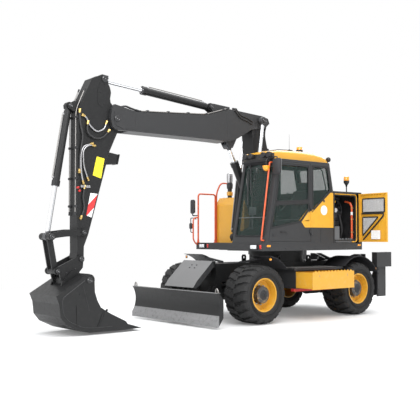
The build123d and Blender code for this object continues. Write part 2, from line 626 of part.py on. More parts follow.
# Engine door, drawn closed and turned open about its hinge
with BuildPart() as engine_door:
    block((hinge_x, hinge_y - 18, 1455), (hinge_x + ENGINE_DOOR_WIDTH, hinge_y - 18 + ENGINE_DOOR_WALL, 2405))
    block((hinge_x + 30, hinge_y - 18, 1485), (hinge_x + ENGINE_DOOR_WIDTH - 20, hinge_y + 5, 2385), Mode.SUBTRACT)
    bar((hinge_x, hinge_y, PLATFORM_TOP + 1), (hinge_x, hinge_y, HOOD_TOP - 16), ENGINE_HINGE_R)
engine_door.part = engine_door.part.rotate(Axis((hinge_x, hinge_y, 0), (0, 0, 1)), ENGINE_DOOR_OPEN)
keep(engine_door, "engine_door")

# Tank housing on the right with the chamfered front top
with BuildPart() as tank:
    slab([(560, PLATFORM_TOP), (560, 2210), (440, 2370), (-300, 2370), (-300, PLATFORM_TOP)],
         -PLATFORM_HALF + 5, GAP_RIGHT)
    block((-300 + 20, -PLATFORM_HALF + 25, PLATFORM_TOP), (540, GAP_RIGHT - 20, 2190), Mode.SUBTRACT)
keep(tank, "tank_housing")


def rail(points, radius, name):
    """Write a handrail of straight runs with rounded corners through the given points."""
    with BuildPart() as tube:
        with BuildLine() as path:
            FilletPolyline(*points, radius=60)
        with BuildSketch(Plane(origin=path.line @ 0, z_dir=path.line % 0)):
            Circle(radius)
        sweep()
    keep(tube, name)


rail([(1060, -1190, PLATFORM_TOP), (1060, -1190, 2440), (600, -1190, 2440), (600, -1190, PLATFORM_TOP)], 17,
     "right_handrail")

# Cab shell, roof, door, glass and seat
CAB_OUTLINE = [
    CAB_FRONT_LOW,
    CAB_FRONT_HIGH,
    (CAB_REAR_X + 110, CAB_FRONT_HIGH[1]),
    (CAB_REAR_X, 2420),
    (CAB_REAR_X, CAB_FRONT_LOW[1]),
]
INSIDE_OUTLINE = [
    (CAB_FRONT_LOW[0] - CAB_WALL - 9, CAB_FRONT_LOW[1] + CAB_FLOOR),
    (CAB_FRONT_HIGH[0] - CAB_WALL, CAB_FRONT_HIGH[1] + 1),
    (CAB_REAR_X + 110 + CAB_WALL, CAB_FRONT_HIGH[1] + 1),
    (CAB_REAR_X + CAB_WALL, 2410),
    (CAB_REAR_X + CAB_WALL, CAB_FRONT_LOW[1] + CAB_FLOOR),
]
SIDE_WINDOW = [(DOOR_REAR_X - 60, 2060), (DOOR_REAR_X - 60, 2880), (-165, 2880), (-255, 2440)]
RIGHT_WINDOW = [(1340, 1640), (1130, 2880), (DOOR_REAR_X + 20, 2880), (DOOR_REAR_X + 20, 1850)]
DOOR_LOW_PANE = [(1345, 1720), (1250, 2130), (DOOR_REAR_X + 60, 2180), (DOOR_REAR_X + 60, 1870)]
DOOR_HIGH_PANE = [(1230, 2190), (1120, 2870), (DOOR_REAR_X + 60, 2870), (DOOR_REAR_X + 60, 2240)]
DOOR_OUTLINE = [(DOOR_FRONT_X + 30, DOOR_BOTTOM), (1170, DOOR_TOP), (DOOR_REAR_X, DOOR_TOP), (DOOR_REAR_X, DOOR_BOTTOM)]

with BuildPart() as cab:
    slab(CAB_OUTLINE, CAB_INNER_Y, CAB_OUTER_Y)
    slab(INSIDE_OUTLINE, CAB_INNER_Y + CAB_WALL, CAB_OUTER_Y - CAB_WALL, Mode.SUBTRACT)
    slab(DOOR_OUTLINE, CAB_OUTER_Y - CAB_WALL - 1, CAB_OUTER_Y + 1, Mode.SUBTRACT)
    slab(SIDE_WINDOW, CAB_OUTER_Y - CAB_WALL - 1, CAB_OUTER_Y + 1, Mode.SUBTRACT)
    slab(RIGHT_WINDOW, CAB_INNER_Y - 1, CAB_INNER_Y + CAB_WALL + 1, Mode.SUBTRACT)
    slab(SIDE_WINDOW, CAB_INNER_Y - 1, CAB_INNER_Y + CAB_WALL + 1, Mode.SUBTRACT)
    cross_slab([(CAB_INNER_Y + 60, 1560), (CAB_INNER_Y + 60, 2900), (CAB_OUTER_Y - 60, 2900),
                (CAB_OUTER_Y - 60, 1560)], 1100, 1600, Mode.SUBTRACT)
    cross_slab([(CAB_INNER_Y + 80, 2460), (CAB_INNER_Y + 80, 2880), (CAB_OUTER_Y - 80, 2880),
                (CAB_OUTER_Y - 80, 2460)], CAB_REAR_X - 10, CAB_REAR_X + 170, Mode.SUBTRACT)
    for low in DOOR_HINGE_Z:
        block((DOOR_HINGE[0] - DOOR_LEAF, CAB_OUTER_Y - 20, low), (DOOR_HINGE[0], DOOR_HINGE[1], low + 40))
        bar((*DOOR_HINGE, low), (*DOOR_HINGE, low + 40), DOOR_BARREL_R)
        bar((*DOOR_HINGE, low), (*DOOR_HINGE, low + 110), DOOR_HINGE_R)
keep(cab, "cab_shell")

with BuildPart() as roof:
    block((CAB_REAR_X + 50, CAB_INNER_Y + 5, ROOF_LOW), (1225, CAB_OUTER_Y - 90, ROOF_TOP))
    block((CAB_REAR_X + 110, CAB_INNER_Y + 50, ROOF_LOW), (1165, CAB_OUTER_Y - 135, ROOF_TOP - 50), Mode.SUBTRACT)
keep(roof, "cab_roof")

with BuildPart() as door:
    inset = [(DOOR_FRONT_X + 22, DOOR_BOTTOM + 5), (1165, DOOR_TOP - 5), (DOOR_REAR_X + 6, DOOR_TOP - 5),
             (DOOR_REAR_X + 6, DOOR_BOTTOM + 5)]
    slab(inset, CAB_OUTER_Y - DOOR_WALL, CAB_OUTER_Y)
    slab(DOOR_LOW_PANE, CAB_OUTER_Y - DOOR_WALL - 1, CAB_OUTER_Y + 1, Mode.SUBTRACT)
    slab(DOOR_HIGH_PANE, CAB_OUTER_Y - DOOR_WALL - 1, CAB_OUTER_Y + 1, Mode.SUBTRACT)
    for low in DOOR_HINGE_Z:
        block((DOOR_HINGE[0], CAB_OUTER_Y + 2, low + 40 + SEAT_GAP),
              (DOOR_HINGE[0] + DOOR_LEAF, DOOR_HINGE[1], low + 110))
        block((DOOR_REAR_X + 8, CAB_OUTER_Y - 10, low + 40 + SEAT_GAP),
              (DOOR_HINGE[0] + DOOR_LEAF, DOOR_HINGE[1], low + 110))
        bar((*DOOR_HINGE, low + 40 + SEAT_GAP), (*DOOR_HINGE, low + 110), DOOR_BARREL_R)
        bar((*DOOR_HINGE, low + 39), (*DOOR_HINGE, low + 111), DOOR_HINGE_R + PIN_GAP, Mode.SUBTRACT)
keep(door, "cab_door")

def front_x(z):
    """Give the outer face of the cab's sloping front at height z."""
    share = (z - CAB_FRONT_LOW[1]) / (CAB_FRONT_HIGH[1] - CAB_FRONT_LOW[1])
    return CAB_FRONT_LOW[0] + share * (CAB_FRONT_HIGH[0] - CAB_FRONT_LOW[0])


with BuildPart() as glass:
    slab([(front_x(1560) - 15, 1560), (front_x(2900) - 15, 2900), (front_x(2900) - 15 - GLASS, 2900),
          (front_x(1560) - 15 - GLASS, 1560)], CAB_INNER_Y + 60, CAB_OUTER_Y - 60)
    slab(RIGHT_WINDOW, CAB_INNER_Y + 15, CAB_INNER_Y + 15 + GLASS)
    slab(SIDE_WINDOW, CAB_INNER_Y + 15, CAB_INNER_Y + 15 + GLASS)
    slab(SIDE_WINDOW, CAB_OUTER_Y - 15 - GLASS, CAB_OUTER_Y - 15)
    slab([(CAB_REAR_X + 25, 2460), (CAB_REAR_X + 110 + 16, 2880), (CAB_REAR_X + 110 + 16 + GLASS, 2880),
          (CAB_REAR_X + 25 + GLASS, 2460)], CAB_INNER_Y + 80, CAB_OUTER_Y - 80)
keep(glass, "cab_glass")

with BuildPart() as door_glass:
    slab(DOOR_LOW_PANE, CAB_OUTER_Y - 25, CAB_OUTER_Y - 25 + GLASS)
    slab(DOOR_HIGH_PANE, CAB_OUTER_Y - 25, CAB_OUTER_Y - 25 + GLASS)
keep(door_glass, "door_glass")

with BuildPart() as seat:
    block((100, 620, CAB_FRONT_LOW[1] + CAB_FLOOR), (560, 960, 1760))
    block((80, 570, 1760), (620, 1010, 1880))
    slab([(60, 1880), (190, 1880), (60, 2560), (-40, 2560)], 580, 1000)
keep(seat, "seat")


# Lower boom: a plate box from the foot pin to the pin that all of the front turns on
with BuildPart() as lower_boom:
    slab([(235, 1750), (250, 1900), (185, 2300), (215, 2900), (400, 3300), (470, 3620), (515, 3830), (560, 3915),
          (660, 3915), (705, 3830), (800, 3600), (745, 3200), (660, 2800), (560, 2200), (420, 1850), (365, 1750)],
         -LOWER_BOOM_HALF, LOWER_BOOM_HALF)
    pin(BOOM_FOOT, 95, -153, 153)
    pin(BOOM_FOOT, 50 + PIN_GAP, -155, 155, Mode.SUBTRACT)
    slab([(300, 2000), (260, 2300), (300, 2860), (470, 3260), (540, 3580), (720, 3580), (665, 3200), (580, 2800),
          (480, 2220)], -LOWER_BOOM_HALF + 20, LOWER_BOOM_HALF - 20, Mode.SUBTRACT)
    pin(BOOM_MID, 45, -200, 200)
    slab_both([(500, 2120), (ADJUST_BASE[0] + 20, ADJUST_BASE[1] + 60), (ADJUST_BASE[0] + 60, ADJUST_BASE[1]),
               (ADJUST_BASE[0] + 20, ADJUST_BASE[1] - 60), (460, 1960)], 63, 88)
    pin(ADJUST_BASE, 38, -95, 95)
keep(lower_boom, "lower_boom")

# Upper boom: closed box between the fork on the lower boom and the fork on the arm
UPPER_OUTLINE = [(360, 3800), (400, 3895), (566, 3931), (1407, 3976), (1974, 3806), (3539, 3694), (3980, 3775),
                 (4040, 3700), (4060, 3535), (4030, 3400), (3960, 3345), (3590, 3349), (1913, 3361), (1407, 3356),
                 (1200, 3440), (843, 3640), (480, 3700)]
with BuildPart() as upper_boom:
    slab(UPPER_OUTLINE, -UPPER_BOOM_HALF, UPPER_BOOM_HALF)
    slab([(300, 3500), (300, 4100), (900, 4100), (1030, 3700), (1030, 3300), (700, 3300)],
         -UPPER_BOOM_HALF + BOOM_PLATE, UPPER_BOOM_HALF - BOOM_PLATE, Mode.SUBTRACT)
    slab([(3700, 3200), (3640, 3500), (3640, 3900), (4200, 3900), (4200, 3200)],
         -UPPER_BOOM_HALF + BOOM_PLATE + 36, UPPER_BOOM_HALF - BOOM_PLATE - 36, Mode.SUBTRACT)
    slab([(1060, 3560), (1060, 3880), (1400, 3930), (1960, 3770), (3560, 3655), (3560, 3385), (1913, 3395),
          (1420, 3390)], -UPPER_BOOM_HALF + 20, UPPER_BOOM_HALF - 20, Mode.SUBTRACT)
    pin_both(BOOM_MID, 45 + PIN_GAP, 150, 200, Mode.SUBTRACT)
    pin(BOOM_TIP, 50, -UPPER_BOOM_HALF - 12, UPPER_BOOM_HALF + 12)
    slab_both([(1327, 3960), (1560, 3920), (ARM_CYL_BASE[0] + 60, ARM_CYL_BASE[1] - 10),
               (ARM_CYL_BASE[0] + 20, ARM_CYL_BASE[1] + 60), (ARM_CYL_BASE[0] - 60, ARM_CYL_BASE[1] + 60),
               (1327, 4036)], 63, 88)
    slab_both([(1500, 3900), (1700, 3870), (ARM_CYL_BASE[0] + 60, ARM_CYL_BASE[1]),
               (ARM_CYL_BASE[0] - 30, ARM_CYL_BASE[1] + 50)], 63, 88)
    pin(ARM_CYL_BASE, 38, -95, 95)
    slab_both([(1130, 3480), (1400, 3358), (ADJUST_EYE[0] + 70, ADJUST_EYE[1]),
               (ADJUST_EYE[0] + 20, ADJUST_EYE[1] - 65), (ADJUST_EYE[0] - 50, ADJUST_EYE[1] - 50)], 67, 92)
keep(upper_boom, "upper_boom")

# Arm: a tapering plate box with the cylinder's eye above and the bucket's end below
ARM_OUTLINE = [(4070, 4250), (4190, 4260), (4382, 4168), (4453, 4023), (4643, 3644), (4648, 1721), (4640, 1300),
               (4663, 1198), (4593, 1128), (4523, 1198), (4520, 1400), (4439, 1599), (4205, 2412), (4040, 2983),
               (3880, 3327), (3835, 3535), (3880, 3640), (4024, 3805), (4070, 4100)]
with BuildPart() as arm:
    slab(ARM_OUTLINE, -ARM_HALF, ARM_HALF)
    slab([(4180, 3640), (4350, 3960), (4560, 3560), (4590, 1800), (4480, 1750), (4260, 2450), (4100, 3000),
          (3990, 3280), (4080, 3480)], -ARM_HALF + 16, ARM_HALF - 16, Mode.SUBTRACT)
    slab([(3990, 4055), (3990, 4400), (4310, 4400), (4250, 4055)], -67, 67, Mode.SUBTRACT)
    pin(BOOM_TIP, 110, -ARM_HALF, ARM_HALF)
    pin(BOOM_TIP, 50 + PIN_GAP, -ARM_HALF - 1, ARM_HALF + 1, Mode.SUBTRACT)
    slab_both([(4600, 3560), (4600, 3800), (4700, 3740), (BUCKET_CYL_BASE[0] + 50, BUCKET_CYL_BASE[1] + 20),
               (BUCKET_CYL_BASE[0] + 40, BUCKET_CYL_BASE[1] - 45)], 56, 80)
    pin(BUCKET_CYL_BASE, 34, -86, 86)
    pin(BUCKET_PIN, 72, -ARM_HALF, ARM_HALF)
    pin(BUCKET_PIN, 40 + PIN_GAP, -ARM_HALF - 1, ARM_HALF + 1, Mode.SUBTRACT)
    pin(ROCKER_PIVOT, 36, -170, 170)
keep(arm, "arm")

with BuildPart() as rocker:
    slab_both([along(ROCKER_PIVOT, ROCKER_PIN, 0, 50), along(ROCKER_PIVOT, ROCKER_PIN, 200, 72),
               along(ROCKER_PIVOT, ROCKER_PIN, 420, 72), along(ROCKER_PIN, ROCKER_PIVOT, 0, -50),
               along(ROCKER_PIN, ROCKER_PIVOT, 0, 50), along(ROCKER_PIVOT, ROCKER_PIN, 500, -31),
               along(ROCKER_PIVOT, ROCKER_PIN, 330, -31), along(ROCKER_PIVOT, ROCKER_PIN, 0, -50)], 128, 153)
    pin_both(ROCKER_PIVOT, 62, 124, 157)
    pin_both(ROCKER_PIN, 58, 128, 168)
    pin_both(ROCKER_PIVOT, 36 + PIN_GAP, 120, 160, Mode.SUBTRACT)
keep(rocker, "bucket_rocker")

# Push link: it turns on the hitch's pin, and its upper bosses stand between the rocker's plates
with BuildPart() as push_link:
    slab_both(strut(ROCKER_PIN, LINK_PIN, 48, 48), 60, 86)
    pin_both(ROCKER_PIN, 56, 60, 128 - SEAT_GAP)
    pin_both(ROCKER_PIN, 34, 44 + SEAT_GAP, 61)
    pin(LINK_PIN, 52, -100, 100)
    pin(LINK_PIN, 34 + PIN_GAP, -101, 101, Mode.SUBTRACT)
keep(push_link, "push_link")

with BuildPart() as hitch:
    slab_both(strut(BUCKET_PIN, LINK_PIN, 62, 58), 128, 160)
    slab_both([(4550, 1180), (4980, 970), along(BUCKET_TOP_REAR, BUCKET_TOP_FRONT, 350, SEAT_GAP),
               along(BUCKET_TOP_REAR, BUCKET_TOP_FRONT, 40, SEAT_GAP), (4560, 1060)], 128, 160)
    slab([(4700, 1010), (4840, 960), (4900, 900), along(BUCKET_TOP_REAR, BUCKET_TOP_FRONT, 320, SEAT_GAP),
          along(BUCKET_TOP_REAR, BUCKET_TOP_FRONT, 80, SEAT_GAP)], -129, 129)
    pin_both(BUCKET_PIN, 62, 128, 160)
    pin(BUCKET_PIN, 40, -180, 180)
    pin_both(LINK_PIN, 58, 128, 160)
    pin_both(LINK_PIN, 50, 100 + SEAT_GAP, 129)
    pin(LINK_PIN, 34, -165, 165)
keep(hitch, "quick_hitch")

# Bucket: side plates, a rolled shell, the tube across its mouth and the brackets for the hitch
BUCKET_OUTLINE = [(4517, 873), (4540, 940), BUCKET_TOP_REAR, BUCKET_TOP_FRONT, (5139, 515), (5115, 317), (5011, 191),
                  (4768, 78), (4598, 44), (4068, 35), (3603, 47), (3885, 132), (3919, 177), (4234, 331),
                  (4395, 430), (4460, 543), (4508, 682)]
BUCKET_INSIDE = [(4640, 925), (5143, 634), (5107, 515), (5083, 335), (4992, 220), (4757, 110), (4596, 76),
                 (4066, 67), (3640, 60), (3500, 300), (4100, 1000)]
with BuildPart() as bucket:
    slab(BUCKET_OUTLINE, -BUCKET_HALF, BUCKET_HALF)
    slab(BUCKET_INSIDE, -BUCKET_HALF + 25, BUCKET_HALF - 25, Mode.SUBTRACT)
    pin(BUCKET_TUBE, 95, -BUCKET_HALF, BUCKET_HALF)
    pin(BUCKET_TUBE, 33, -BUCKET_HALF - 1, BUCKET_HALF + 1, Mode.SUBTRACT)
    slab_both([along(BUCKET_TOP_REAR, BUCKET_TOP_FRONT, 0, -5), along(BUCKET_TOP_REAR, BUCKET_TOP_FRONT, 30, 60),
               along(BUCKET_TOP_REAR, BUCKET_TOP_FRONT, 120, 115), along(BUCKET_TOP_REAR, BUCKET_TOP_FRONT, 330, 60),
               along(BUCKET_TOP_REAR, BUCKET_TOP_FRONT, 400, -5)], 160 + SEAT_GAP, 185)
keep(bucket, "bucket")

rams("lift_cylinder", LIFT_BASE, BOOM_MID, (-LIFT_Y, LIFT_Y), 37, 60, 36, 1250, 740, 70, 45, 14)
rams("adjust_cylinder", ADJUST_BASE, ADJUST_EYE, (0,), 60, 75, 42, 1060, 240, 68, 38)
rams("arm_cylinder", ARM_CYL_BASE, ARM_CYL_EYE, (0,), 60, 68, 42, 1540, 760, 72, 38)
rams("bucket_cylinder", BUCKET_CYL_BASE, ROCKER_PIN, (0,), 44, 58, 36, 1330, 720, 62, 34)

# Mirrors, lamps and beacons on the upper structure
with BuildPart() as mirrors:
    block((1237, 1262, 2560), (1262, 1400, 2820))
    bar((1215, CAB_OUTER_Y - 90 + SEAT_GAP, 3000), (1215, CAB_OUTER_Y - 50, 3000), 12)
    bar((1215, CAB_OUTER_Y - 52, 3000), (1250, MIRROR_OUT, 2900), 12)
    bar((1250, MIRROR_OUT, 2905), (1250, MIRROR_OUT, 2810), 12)
    block((1140, -MIRROR_OUT, 2040), (1165, -MIRROR_OUT + 130, 2310))
    bar((1152, -MIRROR_OUT + 20, 2045), (1152, -MIRROR_OUT + 20, 1990), 12)
    bar((1152, -MIRROR_OUT + 20, 2000), (1070.5, -1203.7, 2000), 12)
keep(mirrors, "mirrors")

with BuildPart() as lamps:
    for y in (420, 560, 900, 1040):
        block((1225 + SEAT_GAP, y, 3010), (1290, y + 90, 3090))
    for y in (930, -1120):
        front = PLATFORM_FRONT if y > 0 else 1070
        block((front, y, PLATFORM_BOTTOM + 35), (front + 25, y + 170, PLATFORM_TOP - 25))
    bar((150, 800, ROOF_TOP), (150, 800, ROOF_TOP + 100), 55)
    bar((-1450, 640, HOOD_TOP - 40), (-1450, 640, HOOD_TOP + 250), 12)
    bar((-1450, 640, HOOD_TOP + 250), (-1450, 640, HOOD_TOP + 370), 55)
keep(lamps, "lamps")
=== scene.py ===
"""Looks of a wheeled excavator with a two-piece boom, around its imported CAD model.

The CAD model's frame is in metres: X points forward, Y to the machine's left and Z up. Every
place and size in this file is in millimetres from the slewing axis at ground level, as on the
machine's own drawings, and place() turns it into a point of the CAD frame.
"""

import json
import math

import bmesh
import bpy
from mathutils import Matrix, Vector


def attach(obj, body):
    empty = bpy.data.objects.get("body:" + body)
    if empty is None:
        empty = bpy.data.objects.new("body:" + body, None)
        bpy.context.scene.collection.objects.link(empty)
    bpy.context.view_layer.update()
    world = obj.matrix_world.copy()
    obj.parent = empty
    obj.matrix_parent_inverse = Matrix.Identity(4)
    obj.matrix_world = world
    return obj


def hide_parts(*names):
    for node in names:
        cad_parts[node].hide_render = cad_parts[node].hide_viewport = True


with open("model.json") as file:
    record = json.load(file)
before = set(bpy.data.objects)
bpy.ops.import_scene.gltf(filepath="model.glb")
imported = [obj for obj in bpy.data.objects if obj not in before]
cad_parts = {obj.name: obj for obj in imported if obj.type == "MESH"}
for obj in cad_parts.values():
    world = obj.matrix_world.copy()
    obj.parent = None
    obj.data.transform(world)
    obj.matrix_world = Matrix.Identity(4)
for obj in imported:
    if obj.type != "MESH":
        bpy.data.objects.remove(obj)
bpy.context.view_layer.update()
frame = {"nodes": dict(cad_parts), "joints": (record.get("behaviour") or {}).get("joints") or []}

SLEW_X, SLEW_Y = next(joint["pos_m"] for joint in frame["joints"] if joint["name"] == "slew")[:2]
MM = 0.001
WHITE = (1.0, 1.0, 1.0, 1.0)
FORWARD, LEFT, UP = (1, 0, 0), (0, 1, 0), (0, 0, 1)
UPPER, LOWER = "upper_structure", "undercarriage"


def place(x, y, z):
    """Give the point of the frame that lies at (x, y, z) millimetres from the slewing axis."""
    return Vector((SLEW_X + x * MM, SLEW_Y + y * MM, z * MM))


def operator(operation, reflected=False):
    """Make an operator of two terms out of a Math node's operation."""
    def act(term, other):
        return term.maths(operation, *((other, term) if reflected else (term, other)))
    return act


class Term:
    """A socket in a finish's node tree, so that shader maths reads as an expression."""

    def __init__(self, finish, socket):
        self.finish = finish
        self.socket = socket

    def maths(self, operation, *terms, clamp=False):
        """Add a Math node over the given terms."""
        settings = {"operation": operation, "use_clamp": clamp}
        return self.finish.node("ShaderNodeMath", settings, dict(enumerate(terms)))

    __add__, __radd__ = operator("ADD"), operator("ADD", reflected=True)
    __sub__, __rsub__ = operator("SUBTRACT"), operator("SUBTRACT", reflected=True)
    __mul__, __rmul__ = operator("MULTIPLY"), operator("MULTIPLY", reflected=True)
    __gt__, __lt__ = operator("GREATER_THAN"), operator("LESS_THAN")
    __pow__, most = operator("POWER"), operator("MAXIMUM")

    def __abs__(self):
        return self.maths("ABSOLUTE", self)

    def fraction(self):
        """Keep what is left of the value after whole numbers."""
        return self.maths("FRACT", self)

    def held(self):
        """Hold the value between 0 and 1."""
        return self.maths("ADD", self, 0.0, clamp=True)

    def ramp(self, low, high):
        """Rise smoothly from 0 at low to 1 at high."""
        values = {"Value": self, "From Min": low, "From Max": high}
        return self.finish.node("ShaderNodeMapRange", {"interpolation_type": "SMOOTHSTEP"}, values)


class Finish:
    """A procedural material, made of nodes that one method adds."""

    def __init__(self, name, color, roughness, **shader):
        self.material = bpy.data.materials.new(name)
        self.material.use_nodes = True
        self.tree = self.material.node_tree
        self.tree.nodes.clear()
        self.shader = self.tree.nodes.new("ShaderNodeBsdfPrincipled")
        self.output = self.tree.nodes.new("ShaderNodeOutputMaterial")
        self.tree.links.new(self.shader.outputs[0], self.output.inputs["Surface"])
        self.set("Base Color", (*color, 1.0))
        self.set("Roughness", roughness)
        for socket, value in shader.items():
            self.set(socket.replace("_", " "), value)

    def node(self, kind, settings=None, values=None, output=None):
        """Add a node: its settings come first, then the values or links of its sockets."""
        made = self.tree.nodes.new(kind)
        for key, value in (settings or {}).items():
            setattr(made, key, value)
        for key, value in (values or {}).items():
            self.fill(self.find(made.inputs, key), value)
        return Term(self, self.find(made.outputs, output))

    @staticmethod
    def find(sockets, key):
        """Find a socket that is in use, by its name or its number."""
        if isinstance(key, int):
            return sockets[key]
        active = [socket for socket in sockets if socket.enabled]
        return next((socket for socket in active if key in (None, socket.name)), active[0])

    def fill(self, socket, value):
        """Link a term to a socket, or set its value."""
        if isinstance(value, Term):
            self.tree.links.new(value.socket, socket)
        else:
            socket.default_value = value

    def set(self, socket, value):
        """Set or link one of the shader's own sockets."""
        self.fill(self.shader.inputs[socket], value)

    def position(self, stretch=(1, 1, 1)):
        """Give the surface point in metres, stretched along each axis."""
        point = self.node("ShaderNodeTexCoord", output="Object")
        return self.node("ShaderNodeVectorMath", {"operation": "MULTIPLY"}, {0: point, 1: stretch})

    def noise(self, scale, detail=4.0, rough=0.55, stretch=(1, 1, 1)):
        """Give a cloudy value about 0.5 that varies over 1 / scale metres."""
        values = {"Vector": self.position(stretch), "Scale": scale, "Detail": detail, "Roughness": rough}
        return self.node("ShaderNodeTexNoise", None, values, "Fac")

    def cells(self, scale):
        """Give the distance to the nearest of many scattered points."""
        values = {"Vector": self.position(), "Scale": scale}
        return self.node("ShaderNodeTexVoronoi", None, values, "Distance")

    def mix(self, share, first, second):
        """Mix two colours, with share 0 for the first and 1 for the second."""
        colors = [c if isinstance(c, Term) else (*c, 1.0) for c in (first, second)]
        values = {"Factor": share, "A": colors[0], "B": colors[1]}
        return self.node("ShaderNodeMix", {"data_type": "RGBA"}, values, "Result")

    def part(self, axis):
        """Give the surface point's place along X, Y or Z, in the frame's metres."""
        return self.node("ShaderNodeSeparateXYZ", None, {0: self.position()}, axis)

    def within(self, low, high):
        """Mark what lies between two corners, given in millimetres; None leaves a side open."""
        mark = None
        for axis, start, end, offset in zip("XYZ", low, high, place(0, 0, 0)):
            for limit, above in ((start, True), (end, False)):
                if limit is not None:
                    edge = limit * MM + offset
                    side = self.part(axis) > edge if above else self.part(axis) < edge
                    mark = side if mark is None else mark * side
        return mark

    def below_line(self, start, end):
        """Mark what lies under the line through two (x, z) places."""
        first, last = place(start[0], 0, start[1]), place(end[0], 0, end[1])
        slope = (last.z - first.z) / (last.x - first.x)
        return self.part("Z") - self.part("X") * slope < first.z - first.x * slope

    def near(self, at, radius):
        """Mark what lies within a radius of the cross axis through an (x, z) place."""
        centre = place(at[0], 0, at[1])
        across, up = self.part("X") - centre.x, self.part("Z") - centre.z
        return across * across + up * up < (radius * MM) ** 2

    def bump(self, height, strength, distance):
        """Turn a height into the surface's bump, whose distance is in metres."""
        values = {"Height": height, "Strength": strength, "Distance": distance}
        self.set("Normal", self.node("ShaderNodeBump", None, values, "Normal"))


def toned(color, share, lift=0.0):
    """Make a colour darker or lighter."""
    return [part * share + lift for part in color]


def painted(name, color, dusty, roughness=0.38, coat=0.08, patches=()):
    """Make machine paint: orange peel, faint colour drift, dull places and dust low down.

    Each patch is a mark, made by a function of the finish, and the colour that lies there.
    """
    paint = Finish(name, color, roughness, Coat_Weight=coat, Coat_Roughness=0.15, Specular_IOR_Level=0.35)
    drift = paint.noise(scale=2.2, detail=3.0)
    grime = paint.noise(scale=17.0, detail=6.0, rough=0.65)
    low = 1 - paint.part("Z").ramp(0.1, 2.2)
    dust = (low * 0.45 + 0.12) * grime.ramp(0.48, 0.78)
    base = paint.mix(drift, color, toned(color, 0.86))
    for mark, patch_color in patches:
        base = paint.mix(mark(paint), base, paint.mix(drift, patch_color, toned(patch_color, 0.86)))
    paint.set("Base Color", paint.mix(dust, base, dusty))
    paint.set("Roughness", (roughness + dust * 0.4 + grime * 0.12).held())
    peel = paint.noise(scale=420.0, detail=2.0)
    paint.bump(peel + grime * 0.4, strength=0.12, distance=0.0008)
    return paint.material


def cast(name, color, roughness=0.62):
    """Make a painted casting: a pebbled skin with darker hollows."""
    iron = Finish(name, color, roughness)
    grain = iron.cells(scale=190.0)
    cloud = iron.noise(scale=9.0, detail=5.0)
    iron.set("Base Color", iron.mix(cloud.ramp(0.35, 0.7), color, toned(color, 0.6)))
    iron.set("Roughness", (roughness - 0.1 + cloud * 0.22).held())
    iron.bump(grain + cloud, strength=0.3, distance=0.0015)
    return iron.material


def moulded(name, color, roughness=0.55, patches=()):
    """Make moulded plastic with a fine leather-like grain, with patches of other colours."""
    plastic = Finish(name, color, roughness)
    grain = plastic.cells(scale=900.0)
    scuff = plastic.noise(scale=30.0, detail=5.0, rough=0.7)
    base = plastic.mix(scuff.ramp(0.5, 0.8), color, toned(color, 1.4, lift=0.006))
    for mark, patch_color in patches:
        base = plastic.mix(mark(plastic), base, patch_color)
    plastic.set("Roughness", (roughness - 0.08 + scuff * 0.2).held())
    plastic.set("Base Color", base)
    plastic.bump(grain, strength=0.22, distance=0.0004)
    return plastic.material


def rubber(name, color, earth_color):
    """Make tyre rubber with dried earth in its low places."""
    tyre = Finish(name, color, 0.82)
    earth = tyre.noise(scale=26.0, detail=8.0, rough=0.7).ramp(0.5, 0.72)
    fine = tyre.noise(scale=300.0, detail=3.0)
    tyre.set("Base Color", tyre.mix(earth * 0.5, color, earth_color))
    tyre.set("Roughness", (0.74 + earth * 0.2).held())
    tyre.bump(fine + earth * 2, strength=0.35, distance=0.0012)
    return tyre.material


def bright(name, color, roughness, scale=260.0):
    """Make ground or chromed steel, with fine turning marks."""
    steel = Finish(name, color, roughness, Metallic=1.0)
    lines = steel.noise(scale, detail=2.0, rough=0.5, stretch=(1, 1, 6))
    steel.set("Roughness", (roughness - 0.04 + lines * 0.12).held())
    steel.bump(lines, strength=0.06, distance=0.0003)
    return steel.material


CHROME = (0.78, 0.79, 0.81)
EYE_PAINT = (0.055, 0.056, 0.06)


def rod_steel(name, eye, reach):
    """Make a cylinder rod: hard chrome, with its welded eye in dark paint round an (x, z) place."""
    rod = Finish(name, CHROME, 0.12)
    painted_eye = rod.near(eye, reach)
    lines = rod.noise(scale=260.0, detail=2.0)
    rod.set("Base Color", rod.mix(painted_eye, CHROME, EYE_PAINT))
    rod.set("Metallic", 1 - painted_eye)
    rod.set("Roughness", (0.08 + lines * 0.12 + painted_eye * 0.35).held())
    rod.bump(lines, strength=0.06, distance=0.0003)
    return rod.material


def lens(name, color):
    """Make a ribbed lamp lens."""
    cover = Finish(name, color, 0.12, Coat_Weight=0.6, IOR=1.5)
    ribs = cover.part("Y") * 160.0
    wave = abs(ribs.fraction() - 0.5)
    cover.set("Base Color", cover.mix(wave, color, toned(color, 0.7)))
    cover.bump(wave, strength=0.5, distance=0.002)
    return cover.material


def window_glass(name, tint, seen):
    """Make tinted safety glass; seen is how much of the view goes through it."""
    pane = Finish(name, tint, 0.03, Coat_Weight=0.1, IOR=1.5)
    haze = pane.noise(scale=3.0, detail=4.0)
    pane.set("Alpha", (1 - seen + haze * 0.03).held())
    pane.set("Roughness", (0.02 + haze * 0.05).held())
    return pane.material


def woven(name, color, pale):
    """Make seat cloth: warp and weft threads, a fleck of pale yarn and soft wear."""
    cloth = Finish(name, color, 0.88, Sheen_Weight=0.25)
    threads = 420.0
    warp = abs((cloth.part("Y") * threads).fraction() - 0.5)
    weft = abs(((cloth.part("X") + cloth.part("Z")) * threads).fraction() - 0.5)
    fleck = cloth.noise(scale=520.0, detail=2.0).ramp(0.55, 0.7)
    wear = cloth.noise(scale=6.0, detail=4.0)
    cloth.set("Base Color", cloth.mix(fleck * 0.5 + wear * 0.2, color, pale))
    cloth.set("Roughness", (0.8 + wear * 0.15).held())
    cloth.bump(warp.most(weft) + fleck * 0.4, strength=0.5, distance=0.0006)
    return cloth.material


